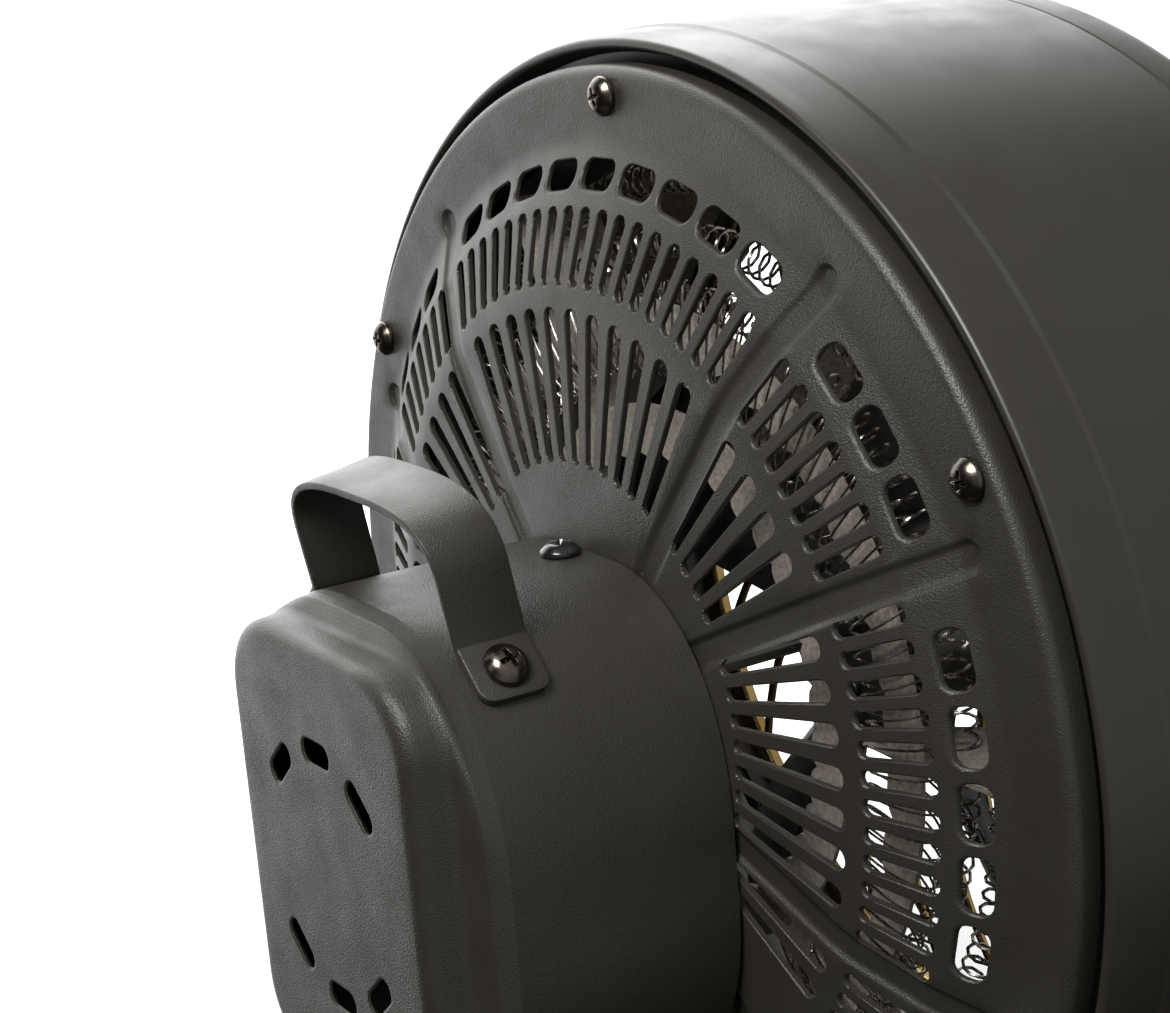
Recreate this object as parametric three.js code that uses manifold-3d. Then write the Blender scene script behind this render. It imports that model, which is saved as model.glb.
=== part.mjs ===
// A round, all-metal, fan-forced room heater on a sheet-steel stand.
// Millimetres, +Z up. The air goes in at the rear (+Y) and out at the front (-Y).
// The origin is on the floor, under the middle of the whole heater.
import * as THREE from "three";
import { mergeVertices } from "three/addons/utils/BufferGeometryUtils.js";
import Module from "manifold-3d";

const wasm = await Module();
wasm.setup();

// ---------------------------------------------------------------- driving dimensions
const GAP = 0.3; // between neighbouring pieces that touch
const RIM_Y = 10; // the rear grille's flange plane, along the fan axis

// Rear grille: a flat flange, a dished cone and a nearly flat middle.
const RIM_R = 126.2; // outer radius of the grille
const LIP_ROUND = 2.5; // rounding between the flange and its lip
const LIP_DEPTH = 6.3; // how far the lip turns forwards
const SHEET = 1.2; // thickness of the grille sheet
const FLANGE_WIDTH = 14.7;
const FLANGE_R = RIM_R - FLANGE_WIDTH; // where the flat flange bends into the cone
const DISH = [
  // radius and height of the dish's rear face, from the cone's foot inwards
  [99.5, 6.3],
  [82, 11.9],
  [48.7, 13.7],
];
const SHAFT_HOLE_R = 9; // clearance hole for the shaft
const SLOT_ROWS = [
  // three rings of slots; the tangential ring has short wide holes
  { inner: 102.3, outer: 108.2, pitch: 7.44, innerWidth: 10.8, outerWidth: 11.4 },
  { inner: 84.1, outer: 99.3, pitch: 3.627, innerWidth: 3, outerWidth: 3.6 },
  { inner: 48.7, outer: 79.8, pitch: 5.857, innerWidth: 2.7, outerWidth: 4.4 },
];
const RIB_ANGLES = [37.1, 65.8, 111.5, 143]; // pressed grooves, on both sides
const RIB_WIDTH = 5.6;
const RIB_DEPTH = 0.5;
const RIB_INNER_R = 40;
const RIB_OUTER_R = FLANGE_R + 5;
const RIB_CLEARANCE = 3.3; // a slot closer than this to a rib's middle is left out
const COVER_SHADOW_ANGLE = 128; // inner slots beyond this would be under the motor cover

// Barrel, bezel and duct.
const BARREL_MARGIN = 6.3; // from the grille's rim to the drum
const BARREL_R = RIM_R + BARREL_MARGIN;
const BARREL_SHEET = 1.2;
const BARREL_FRONT = -84; // along the axis, from the flange plane
const BARREL_CREASE = -17.5; // where the straight drum turns in towards its rear edge
const BEAD_R = BARREL_R - 1.7; // crest of the rolled rear edge
const BEAD_Y = -4.3;
const RIM_CLEARANCE = 1.9; // between the grille's lip and the rolled edge
const RETURN_Y = -9.5; // rear face of the inner return flange
const RETURN_R = RIM_R - 12.7; // inner radius of the return flange
const BEZEL_DEPTH = 13; // of the part in front of the barrel
const BEZEL_WIDTH = 13.5;
const BEZEL_BORE_R = BARREL_R - BEZEL_WIDTH;
const BEZEL_BORE_DEPTH = 9;
const SPIGOT_DEPTH = 6; // how far the bezel goes into the barrel
const DUCT_R = RETURN_R - 1.5;
const DUCT_SHEET = 1;
const DUCT_REAR = -12;
const DUCT_FRONT = BARREL_FRONT + 4;

// Front guard: swept bars between a hub ring and an outer ring.
const GUARD_HUB_R = 30;
const GUARD_RING_R = BEZEL_BORE_R - 2 * GAP;
const GUARD_RING_WIDTH = 4;
const GUARD_THICK = 4;
const GUARD_BARS = 24;
const GUARD_BAR_WIDTH = 2;
const GUARD_SWEEP = 34; // degrees that a bar turns between hub and ring
const GUARD_FRONT = BARREL_FRONT - BEZEL_DEPTH - GAP;
const BADGE_R = 24;

// Motor cover: a domed-top shell with a stepped, smaller rear section.
const COVER_HALF_WIDTH = 47.5;
const COVER_TOP = 31.2; // above the fan axis
const COVER_BOTTOM = -75.2;
const COVER_FRONT = DISH.at(-1)[1] + 0.4;
const COVER_REAR = 77.3;
const COVER_SHEET = 1.2;
const COVER_CORNER = [38, 46]; // across and up
const COVER_STATIONS = [
  // distance along the axis, inset from the full outline, 0..1 from full to small corners
  [COVER_FRONT, 0, 0],
  [COVER_REAR - 14.3, 0, 0],
  [COVER_REAR - 11, 1.8, 0.2],
  [COVER_REAR - 9.3, 5.4, 0.7],
  [COVER_REAR - 7.5, 8.4, 0.95],
  [COVER_REAR - 3.8, 9.5, 1],
  [COVER_REAR - 0.9, 11, 1],
  [COVER_REAR, 13.6, 1],
];
const COVER_TOP_SHARE = 0.56; // the step is shallower at the top and bottom than at the sides
const STEP_CORNER = [19, 16];
const COVER_SCREW_Y = COVER_FRONT + 4.9;
const VENT_RING_R = 25.6;
const VENT_CENTRE_Z = -21.5;
const VENT_ANGLES = [0, 41, 139, 180, 221, 319];
const VENT_SIZE = [11, 4.8];

// Carrying handle: a bent strap across the cover.
const STRAP_WIDTH = 15;
const STRAP_THICK = 1.6;
const STRAP_REAR_Y = COVER_REAR - 17; // rear edge at the feet
const STRAP_INSET = 18.3; // from the cover's widest point
const STRAP_HALF_SPAN = COVER_HALF_WIDTH - STRAP_INSET;
const STRAP_RISE = 22.3;
const STRAP_TOP = COVER_TOP + STRAP_RISE; // crest of the rear edge
const STRAP_ARCH = 14; // height of the arched part
const STRAP_LEAN = 10; // degrees that the strap leans backwards
const STRAP_FOOT = 12.5; // length of each foot
const FOOT_SLOPE = 43.5; // degrees that each foot slopes down with the cover's shoulder
const FOOT_LIFT = 0.3; // keeps the straight foot clear of the curved cover

// Screws.
const GRILLE_SCREW_R = RIM_R - 5.9; // pitch circle radius
const GRILLE_SCREW_ANGLES = [0, 60, 120, 180, 240, 300];
const SCREW_HEAD_R = 4;
const SCREW_HEAD_H = 2.6;
const SCREW_SHANK_R = 1.9;
const SCREW_LENGTH = 9;
const COVER_SCREW_LENGTH = 5.5;
const SCREW_HOLE_R = SCREW_SHANK_R + 0.6;
const HANDLE_SCREW_HEAD_R = 4.5;

// Heating element.
const MICA_THICK = 1;
const MICA_Y = -6.5; // the rear mica ring's rear face
const MICA_RINGS = [
  // inner and outer radii
  [46, 57],
  [69, 79],
];
const MICA_LOBES = 36;
const MICA_LOBE_DEPTH = 1.6;
const FIN_COUNT = 6;
const FIN_OUTER_R = DUCT_R - 1.5;
const FIN_DEPTH = 22;
const COIL_RADII = [76, 89, 102];
const COIL_TUBE_R = 3.6;
const COIL_Y = -19;

// Impeller and shaft.
const SHAFT_R = 3;
const SHAFT_REAR = 62;
const SHAFT_FRONT = BARREL_FRONT + 2;
const TIP_CLEARANCE = 15; // from the blades to the duct
const IMPELLER_R = DUCT_R - TIP_CLEARANCE;
const IMPELLER_HUB_R = 24;
const IMPELLER_Y = BARREL_FRONT + 32; // rear face of the hub
const IMPELLER_HUB_DEPTH = 22;
const BLADES = 5;
const BLADE_PITCH = 32; // degrees at the tip
const BLADE_TWIST = 18; // steeper at the root by this much
const BLADE_CHORD = 46;
const BLADE_THICK = 1.4;

// Shaded-pole motor inside the cover.
const STATOR_HALF_X = COVER_HALF_WIDTH - 19.5;
const STATOR_TOP = COVER_TOP - 9.2;
const STATOR_BOTTOM = STATOR_TOP - 68;
const WINDOW_IN = 10; // the stator's two windows, across
const WINDOW_OUT = STATOR_HALF_X - 4;
const WINDOW_LOW = STATOR_BOTTOM + 6; // and up
const WINDOW_HIGH = WINDOW_LOW + 18;
const COIL_OVERHANG = 8; // of the winding, past the stator's faces
const STATOR_REAR = 50;
const STATOR_FRONT = 28;
const ROTOR_R = 13.6;
const ROTOR_AIR_GAP = 0.6;
const BRACKET_THICK = 1.6;
const BRACKET_OFFSET = 7; // from the stator's faces to the brackets
const BRACKET_BOTTOM = -12;
const BUSHING_R = 6.5;
const BUSHING_LENGTH = 6;
const BOLT_R = 1.8;
const BOLT_X = STATOR_HALF_X - 5;
const BOLT_Z = STATOR_TOP - 5;

// Stand with the controls.
const BOX_HALF_X = 75;
const BOX_FRONT = -70;
const BOX_REAR = 70;
const BOX_TOP = 42;
const BOX_SHEET = 1.2;
const BOX_CORNER = 14;
const PLATE_HALF_X = 90;
const PLATE_HALF_Y = 78;
const PLATE_BOTTOM = 7.5;
const PLATE_THICK = 2;
const PLATE_CORNER = 20;
const FOOT_R = 9;
const FOOT_X = 76;
const FOOT_Y = 64;
const AXIS_Z = BOX_TOP + 5.5 + BARREL_R; // height of the fan axis above the floor
const SADDLE_HALF_X = 58;
const SADDLE_FRONT = BARREL_FRONT + 29;
const SADDLE_REAR = 5;
const SADDLE_SHEET = 2;
const SADDLE_TOP = AXIS_Z - 0.8 * BARREL_R;
const CONTROL_Z = 25;
const CONTROL_X = 38;
const KNOB_R = 13;
const KNOB_H = 14;
const KNOB_SHAFT_R = 3;
const KNOB_SHAFT_LENGTH = 15;
const SWITCH_SIZE = [24, 18, 26];
const LAMP_R = 3.5;
const GLAND_R = 7.5;
const GLAND_BORE_R = 4;
const GLAND_Z = 24;
const PLUNGER_R = 4;
const PLUNGER_Y = -20;
const PLUNGER_TOP = 22;
const PLUNGER_COLLAR_R = 6.5;

const FAR = 100; // a length that reaches past any piece
const ROUND = 48; // sides of the large turned pieces
const SMALL_ROUND = 12; // sides of the small turned pieces

// ---------------------------------------------------------------- materials
const finish = (colour, roughness, metalness) =>
  new THREE.MeshStandardMaterial({ color: colour, roughness, metalness });
const powderCoat = finish(0x4b4743, 0.55, 0.35);
const barrelPaint = finish(0x54504b, 0.42, 0.4);
const darkNickel = finish(0x4a443d, 0.25, 0.9);
const guardMetal = finish(0xb59a63, 0.3, 0.85);
const micaBoard = finish(0x7b7064, 0.7, 0);
const heatingWire = finish(0xa39b90, 0.3, 0.9);
const bareSteel = finish(0x9a9a9a, 0.35, 0.9);
const galvanised = finish(0x8d8f90, 0.4, 0.85);
const copper = finish(0x9c5a32, 0.35, 0.8);
const blackPlastic = finish(0x1b1b1c, 0.5, 0);
const rubber = finish(0x151515, 0.85, 0);
const amberLens = finish(0xd9681d, 0.2, 0);
const bronze = finish(0x8c6a3a, 0.4, 0.8);

// ---------------------------------------------------------------- solid helpers
const rad = THREE.MathUtils.degToRad;

// A closed three.js mesh as a solid that can be joined and cut.
function solid(geometry) {
  const bare = geometry.index ? geometry.toNonIndexed() : geometry.clone();
  bare.deleteAttribute("normal");
  bare.deleteAttribute("uv");
  const merged = mergeVertices(bare, 1e-3);
  const corners = merged.index.array;
  const kept = [];
  for (let i = 0; i < corners.length; i += 3) {
    const [a, b, c] = [corners[i], corners[i + 1], corners[i + 2]];
    if (a !== b && b !== c && c !== a) kept.push(a, b, c);
  }
  return new wasm.Manifold(
    new wasm.Mesh({
      numProp: 3,
      vertProperties: merged.attributes.position.array,
      triVerts: new Uint32Array(kept),
    }),
  );
}

function geometryOf(made) {
  const mesh = made.getMesh();
  const geometry = new THREE.BufferGeometry();
  geometry.setAttribute("position", new THREE.BufferAttribute(mesh.vertProperties, 3));
  geometry.setIndex(new THREE.BufferAttribute(mesh.triVerts, 1));
  return geometry;
}

const join = (...solids) => solids.reduce((sum, next) => sum.add(next));
const cut = (body, ...tools) => tools.reduce((rest, tool) => rest.subtract(tool), body);

// A solid turned about the Y axis from a list of [radius, y]; it closes on itself or on the axis.
function turned(profile, sides = ROUND) {
  const points = profile.map(([r, y]) => new THREE.Vector2(r, y));
  if (THREE.ShapeUtils.area(points) < 0) points.reverse();
  points.push(points[0].clone());
  return solid(new THREE.LatheGeometry(points, sides));
}

// A round bar along Y between two stations, at x and z.
function barY(radius, y0, y1, x = 0, z = 0, sides = SMALL_ROUND) {
  const bar = new THREE.CylinderGeometry(radius, radius, y1 - y0, sides);
  return solid(bar.translate(x, (y0 + y1) / 2, z));
}

function barZ(radius, z0, z1, x = 0, y = 0, sides = SMALL_ROUND) {
  const bar = new THREE.CylinderGeometry(radius, radius, z1 - z0, sides);
  return solid(bar.rotateX(Math.PI / 2).translate(x, y, (z0 + z1) / 2));
}

// A block between two opposite corners.
function block([x0, y0, z0], [x1, y1, z1]) {
  const box = new THREE.BoxGeometry(x1 - x0, y1 - y0, z1 - z0);
  return solid(box.translate((x0 + x1) / 2, (y0 + y1) / 2, (z0 + z1) / 2));
}

// A shape drawn in X and Z, pushed along Y.
function pushedY(shape, y0, y1, steps = 8) {
  const geometry = new THREE.ExtrudeGeometry(shape, {
    depth: y1 - y0,
    bevelEnabled: false,
    curveSegments: steps,
  });
  return solid(geometry.rotateX(Math.PI / 2).translate(0, y1, 0));
}

// A shape drawn in X and Y, pushed along Z.
function pushedZ(shape, z0, z1, steps = 8) {
  const geometry = new THREE.ExtrudeGeometry(shape, {
    depth: z1 - z0,
    bevelEnabled: false,
    curveSegments: steps,
  });
  return solid(geometry.translate(0, 0, z0));
}

function roundedRectangle(x0, y0, x1, y1, r) {
  const shape = new THREE.Shape();
  shape.moveTo(x0 + r, y0);
  shape.lineTo(x1 - r, y0);
  shape.absarc(x1 - r, y0 + r, r, -Math.PI / 2, 0);
  shape.lineTo(x1, y1 - r);
  shape.absarc(x1 - r, y1 - r, r, 0, Math.PI / 2);
  shape.lineTo(x0 + r, y1);
  shape.absarc(x0 + r, y1 - r, r, Math.PI / 2, Math.PI);
  shape.lineTo(x0, y0 + r);
  shape.absarc(x0 + r, y0 + r, r, Math.PI, Math.PI * 1.5);
  return shape;
}

// A closed body through a row of convex outlines with equal numbers of points.
function loft(outlines) {
  const count = outlines[0].length;
  const positions = outlines.flat().flatMap((p) => [p.x, p.y, p.z]);
  const index = [];
  for (let s = 0; s < outlines.length - 1; s++) {
    for (let i = 0; i < count; i++) {
      const a = s * count + i;
      const b = s * count + ((i + 1) % count);
      index.push(a, a + count, b, b, a + count, b + count);
    }
  }
  const last = (outlines.length - 1) * count;
  for (let i = 1; i < count - 1; i++) {
    index.push(0, i, i + 1);
    index.push(last, last + i + 1, last + i);
  }
  const geometry = new THREE.BufferGeometry();
  geometry.setAttribute("position", new THREE.Float32BufferAttribute(positions, 3));
  geometry.setIndex(index);
  const made = solid(geometry);
  return made.volume() > 0 ? made : solid(flipped(geometry));
}

function flipped(geometry) {
  const index = geometry.index.array.slice();
  for (let i = 0; i < index.length; i += 3) {
    [index[i + 1], index[i + 2]] = [index[i + 2], index[i + 1]];
  }
  const turnedRound = geometry.clone();
  turnedRound.setIndex(new THREE.BufferAttribute(index, 1));
  return turnedRound;
}

// Turns a solid about the fan axis. Angle 0 is up, and positive angles go towards -X.
const aboutAxis = (made, degrees) => made.rotate([0, -degrees, 0]);

const heater = new THREE.Group();
const head = new THREE.Group(); // pieces placed from the rim plane and the fan axis
head.position.set(0, RIM_Y, AXIS_Z);
heater.add(head);

function addNode(group, name, made, material) {
  const mesh = new THREE.Mesh(geometryOf(made), material);
  mesh.name = name;
  group.add(mesh);
  return mesh;
}

// ---------------------------------------------------------------- rear grille
// Height of the grille's rear face at a radius.
const dishProfile = [
  [RIM_R - LIP_ROUND, 0],
  [FLANGE_R, 0],
  ...DISH,
  [SHAFT_HOLE_R, DISH.at(-1)[1] + GAP],
];

function slotOutline({ inner, outer, innerWidth, outerWidth }) {
  const shape = new THREE.Shape();
  shape.moveTo(-innerWidth / 2, inner);
  shape.lineTo(innerWidth / 2, inner);
  shape.lineTo(outerWidth / 2, outer);
  shape.lineTo(-outerWidth / 2, outer);
  return shape;
}

// Angles of one ring's slots: an even pitch, without those that a rib would cross.
function slotAngles(row) {
  const angles = [];
  const middle = (row.inner + row.outer) / 2;
  const last = Math.floor((180 - row.pitch / 2) / row.pitch);
  for (let k = -last; k <= last; k++) {
    const angle = k * row.pitch;
    const nearest = Math.min(...RIB_ANGLES.map((rib) => Math.abs(Math.abs(angle) - rib)));
    const underCover = row.inner < 70 && Math.abs(angle) > COVER_SHADOW_ANGLE;
    if (rad(nearest) * middle > RIB_CLEARANCE && !underCover) angles.push(angle);
  }
  return angles;
}

function makeRearGrille() {
  const rear = [[RIM_R, -LIP_ROUND], ...dishProfile];
  const front = dishProfile.map(([r, y]) => [r, y - SHEET]).reverse();
  front.push([RIM_R - SHEET, -LIP_ROUND]);
  const lip = [
    [RIM_R - SHEET, -LIP_DEPTH],
    [RIM_R, -LIP_DEPTH],
  ];
  let grille = turned([...rear, ...front, ...lip]);
  const groove = turned([
    ...dishProfile.map(([r, y]) => [r, y + 1]),
    ...dishProfile.map(([r, y]) => [r, y - RIB_DEPTH]).reverse(),
  ]);
  const ribs = [];
  for (const angle of [...RIB_ANGLES, ...RIB_ANGLES.map((a) => -a), 180]) {
    const strip = block(
      [-RIB_WIDTH / 2, -FAR, RIB_INNER_R],
      [RIB_WIDTH / 2, FAR, RIB_OUTER_R],
    );
    ribs.push(aboutAxis(strip, angle));
  }
  grille = cut(grille, groove.intersect(join(...ribs)));
  const cutters = [];
  for (const row of SLOT_ROWS) {
    const cutter = pushedY(slotOutline(row), -FAR, FAR);
    cutters.push(...slotAngles(row).map((angle) => aboutAxis(cutter, angle)));
  }
  return cut(grille, join(...cutters), join(...grilleScrewHoles()));
}

const grilleScrewHoles = () =>
  GRILLE_SCREW_ANGLES.map((angle) =>
    aboutAxis(barY(SCREW_HOLE_R, 2 * RETURN_Y, -RETURN_Y, 0, GRILLE_SCREW_R, 6), angle),
  );

// ---------------------------------------------------------------- barrel, bezel, duct
function makeBarrel() {
  const t = BARREL_SHEET;
  const seat = RIM_R + RIM_CLEARANCE;
  const barrel = turned([
    [BARREL_R, BARREL_FRONT],
    [BARREL_R, BARREL_CREASE],
    [BARREL_R - 0.4, BARREL_CREASE / 2],
    [BEAD_R, BEAD_Y],
    [seat + 0.4, BEAD_Y - 0.6],
    [seat, RETURN_Y],
    [RETURN_R, RETURN_Y],
    [RETURN_R, RETURN_Y - t],
    [BARREL_R - t - 0.4, RETURN_Y - t],
    [BARREL_R - t, BARREL_CREASE],
    [BARREL_R - t, BARREL_FRONT],
  ]);
  return cut(barrel, join(...grilleScrewHoles()));
}

// A pressed ring, flush with the barrel, whose rear end fits inside it.
function makeBezel() {
  const t = BARREL_SHEET;
  const rear = BARREL_FRONT - GAP;
  const front = BARREL_FRONT - BEZEL_DEPTH;
  const inside = BARREL_R - t - GAP;
  return turned([
    [inside, BARREL_FRONT + SPIGOT_DEPTH],
    [inside, rear],
    [BARREL_R, rear],
    [BARREL_R, front + 6],
    [BARREL_R - 1.6, front + 2.4],
    [BARREL_R - 5, front + 0.3],
    [BEZEL_BORE_R + 2, front],
    [BEZEL_BORE_R, front + 2],
    [BEZEL_BORE_R, front + BEZEL_BORE_DEPTH],
    [BEZEL_BORE_R + t, front + BEZEL_BORE_DEPTH],
    [BEZEL_BORE_R + t, front + 2.6],
    [BEZEL_BORE_R + 2.6, front + t],
    [BARREL_R - 5.4, front + 0.3 + t],
    [BARREL_R - 2.6, front + 3.2],
    [inside - t, front + 6.4],
    [inside - t, BARREL_FRONT + SPIGOT_DEPTH],
  ]);
}

function makeDuct() {
  return turned([
    [DUCT_R, DUCT_REAR],
    [DUCT_R + DUCT_SHEET, DUCT_REAR],
    [DUCT_R + DUCT_SHEET, DUCT_FRONT],
    [DUCT_R, DUCT_FRONT],
  ]);
}

// ---------------------------------------------------------------- front guard
// One swept bar, as a curved outline in the guard's plane.
function guardBar() {
  const steps = 4;
  const start = GUARD_HUB_R - 1;
  const end = GUARD_RING_R - GUARD_RING_WIDTH + 1;
  const edge = (side) =>
    Array.from({ length: steps + 1 }, (_, i) => {
      const share = i / steps;
      const r = THREE.MathUtils.lerp(start, end, share);
      const angle = rad(GUARD_SWEEP) * share ** 1.4;
      const x = r * Math.sin(angle) + (side * GUARD_BAR_WIDTH * Math.cos(angle)) / 2;
      const z = r * Math.cos(angle) - (side * GUARD_BAR_WIDTH * Math.sin(angle)) / 2;
      return new THREE.Vector2(x, z);
    });
  const shape = new THREE.Shape([...edge(-1), ...edge(1).reverse()]);
  return pushedY(shape, GUARD_FRONT + 1, GUARD_FRONT + GUARD_THICK - 0.6);
}

function makeGuard() {
  const back = GUARD_FRONT + GUARD_THICK;
  const ring = turned([
    [GUARD_RING_R, back],
    [GUARD_RING_R, GUARD_FRONT],
    [GUARD_RING_R - GUARD_RING_WIDTH, GUARD_FRONT],
    [GUARD_RING_R - GUARD_RING_WIDTH, back],
  ]);
  const hub = turned(
    [
      [0, back],
      [GUARD_HUB_R, back],
      [GUARD_HUB_R, GUARD_FRONT + 1],
      [BADGE_R + GAP, GUARD_FRONT + 1],
      [BADGE_R + GAP, GUARD_FRONT + 2.2],
      [0, GUARD_FRONT + 2.2],
    ],
    36,
  );
  const bars = Array.from({ length: GUARD_BARS }, (_, i) =>
    aboutAxis(guardBar(), (360 / GUARD_BARS) * i),
  );
  return join(ring, hub, ...bars);
}

function makeBadge() {
  return turned(
    [
      [0, GUARD_FRONT + 2.2 - GAP],
      [BADGE_R, GUARD_FRONT + 2.2 - GAP],
      [BADGE_R, GUARD_FRONT + 0.8],
      [BADGE_R - 2, GUARD_FRONT],
      [0, GUARD_FRONT],
    ],
    36,
  );
}

// ---------------------------------------------------------------- heating element
// A flat mica ring with a scalloped inner edge.
function micaRing([inner, outer]) {
  const edge = [];
  const perLobe = 3;
  for (let i = 0; i < MICA_LOBES * perLobe; i++) {
    const turn = (i / (MICA_LOBES * perLobe)) * Math.PI * 2;
    const wave = Math.abs(Math.sin((turn * MICA_LOBES) / 2));
    const r = inner + MICA_LOBE_DEPTH * (1 - wave);
    edge.push(new THREE.Vector2(r * Math.sin(turn), r * Math.cos(turn)));
  }
  const outline = new THREE.Shape().absarc(0, 0, outer, 0, Math.PI * 2);
  outline.holes.push(new THREE.Path(edge));
  return pushedY(outline, MICA_Y - MICA_THICK, MICA_Y, 24);
}

// Two mica rings, and radial fins that join them and carry the coils.
function makeMicaFrame() {
  let frame = join(...MICA_RINGS.map(micaRing));
  for (let i = 0; i < FIN_COUNT; i++) {
    let fin = block(
      [-MICA_THICK / 2, MICA_Y - FIN_DEPTH, MICA_RINGS[0][1] - 4],
      [MICA_THICK / 2, MICA_Y - 0.2, FIN_OUTER_R],
    );
    for (const r of COIL_RADII) {
      const hole = new THREE.CylinderGeometry(COIL_TUBE_R + 0.8, COIL_TUBE_R + 0.8, 8, 8);
      fin = cut(fin, solid(hole.rotateZ(Math.PI / 2).translate(0, COIL_Y, r)));
    }
    frame = join(frame, aboutAxis(fin, (360 / FIN_COUNT) * (i + 0.5)));
  }
  return frame;
}

// The outer form of one wound coil: a ring around the axis.
function makeCoil(radius) {
  const ring = new THREE.TorusGeometry(radius, COIL_TUBE_R, 6, 32);
  return solid(ring.rotateX(Math.PI / 2).translate(0, COIL_Y, 0));
}

function makeThermalCutout() {
  const r = DUCT_R + DUCT_SHEET + GAP;
  return aboutAxis(barZ(6, r, r + 8, 0, -50), 30);
}

// ---------------------------------------------------------------- impeller and shaft
function makeBlade() {
  const stations = 5;
  const outlines = [];
  for (let s = 0; s <= stations; s++) {
    const share = s / stations;
    const r = THREE.MathUtils.lerp(IMPELLER_HUB_R - 3, IMPELLER_R, share);
    const pitch = rad(BLADE_PITCH + BLADE_TWIST * (1 - share));
    const half = (BLADE_CHORD / 2) * (0.55 + 0.45 * share);
    const corner = (along, across) => {
      const x = along * Math.cos(pitch) - across * Math.sin(pitch);
      const y = along * Math.sin(pitch) + across * Math.cos(pitch);
      return new THREE.Vector3(x, y + IMPELLER_Y - IMPELLER_HUB_DEPTH / 2, r);
    };
    const t = BLADE_THICK / 2;
    outlines.push([corner(-half, -t), corner(half, -t), corner(half, t), corner(-half, t)]);
  }
  return loft(outlines);
}

function makeImpeller() {
  const front = IMPELLER_Y - IMPELLER_HUB_DEPTH;
  const hub = turned(
    [
      [SHAFT_R + GAP, IMPELLER_Y],
      [IMPELLER_HUB_R, IMPELLER_Y],
      [IMPELLER_HUB_R, front + 4],
      [IMPELLER_HUB_R - 6, front],
      [SHAFT_R + GAP, front],
    ],
    30,
  );
  const round = turned(
    [
      [0, IMPELLER_Y + 20],
      [IMPELLER_R, IMPELLER_Y + 20],
      [IMPELLER_R, front - 20],
      [0, front - 20],
    ],
    48,
  );
  const blades = Array.from({ length: BLADES }, (_, i) =>
    aboutAxis(makeBlade(), (360 / BLADES) * i),
  );
  const bore = barY(SHAFT_R + GAP, front - 20, IMPELLER_Y + 20);
  return cut(join(hub, ...blades).intersect(round), bore);
}

function makeImpellerNut() {
  const front = IMPELLER_Y - IMPELLER_HUB_DEPTH - GAP;
  const nut = barY(6, front - 5, front, 0, 0, 6);
  return cut(nut, barY(SHAFT_R + GAP, front - 10, front + 5));
}

// ---------------------------------------------------------------- motor
function makeStator() {
  const body = roundedRectangle(-STATOR_HALF_X, STATOR_BOTTOM, STATOR_HALF_X, STATOR_TOP, 3);
  const stack = pushedY(body, STATOR_FRONT, STATOR_REAR);
  const bore = barY(ROTOR_R + ROTOR_AIR_GAP, 0, FAR, 0, 0, 16);
  const windows = [-1, 1].map((side) => {
    const [x0, x1] = side > 0 ? [WINDOW_IN, WINDOW_OUT] : [-WINDOW_OUT, -WINDOW_IN];
    return block([x0, 0, WINDOW_LOW], [x1, FAR, WINDOW_HIGH]);
  });
  return cut(stack, bore, ...windows, ...motorBoltHoles());
}

const motorBoltHoles = () =>
  [-BOLT_X, BOLT_X].map((x) => barY(BOLT_R + GAP, 0, FAR, x, BOLT_Z, 6));

// The winding on the stator's lower limb, through both windows.
function makeFieldCoil() {
  const outside = block(
    [-WINDOW_OUT + GAP, STATOR_FRONT - COIL_OVERHANG, WINDOW_LOW + GAP],
    [WINDOW_OUT - GAP, STATOR_REAR + COIL_OVERHANG, WINDOW_HIGH - GAP],
  );
  const limb = block(
    [-WINDOW_IN - GAP, STATOR_FRONT - GAP, WINDOW_LOW - 1],
    [WINDOW_IN + GAP, STATOR_REAR + GAP, WINDOW_HIGH + 1],
  );
  return cut(outside, limb);
}

const makeRotor = () =>
  cut(barY(ROTOR_R, STATOR_FRONT, STATOR_REAR, 0, 0, 16), barY(SHAFT_R + GAP, 0, FAR));

const makeShaft = () => barY(SHAFT_R, SHAFT_FRONT, SHAFT_REAR);

// A bracket plate across the stator, with the hole for its bushing.
function makeBracket(y0) {
  const outline = roundedRectangle(
    -STATOR_HALF_X,
    BRACKET_BOTTOM,
    STATOR_HALF_X,
    STATOR_TOP,
    6,
  );
  const seat = barY(BUSHING_R + GAP, 0, FAR, 0, 0, 18);
  return cut(pushedY(outline, y0, y0 + BRACKET_THICK, 4), seat, ...motorBoltHoles());
}

function makeBushing(middleY) {
  const half = BUSHING_LENGTH / 2;
  const body = barY(BUSHING_R, middleY - half, middleY + half, 0, 0, 18);
  return cut(body, barY(SHAFT_R + GAP, 0, FAR));
}

// A long bolt that clamps both brackets to the stator, with its head at the rear.
function makeMotorBolt(x) {
  const rear = STATOR_REAR + BRACKET_OFFSET + BRACKET_THICK + GAP;
  const front = STATOR_FRONT - BRACKET_OFFSET - BRACKET_THICK - 1;
  const shank = barY(BOLT_R, front, rear + 1, x, BOLT_Z, 10);
  return join(shank, barY(BOLT_R + 1.7, rear, rear + 2.5, x, BOLT_Z, 6));
}

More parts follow.
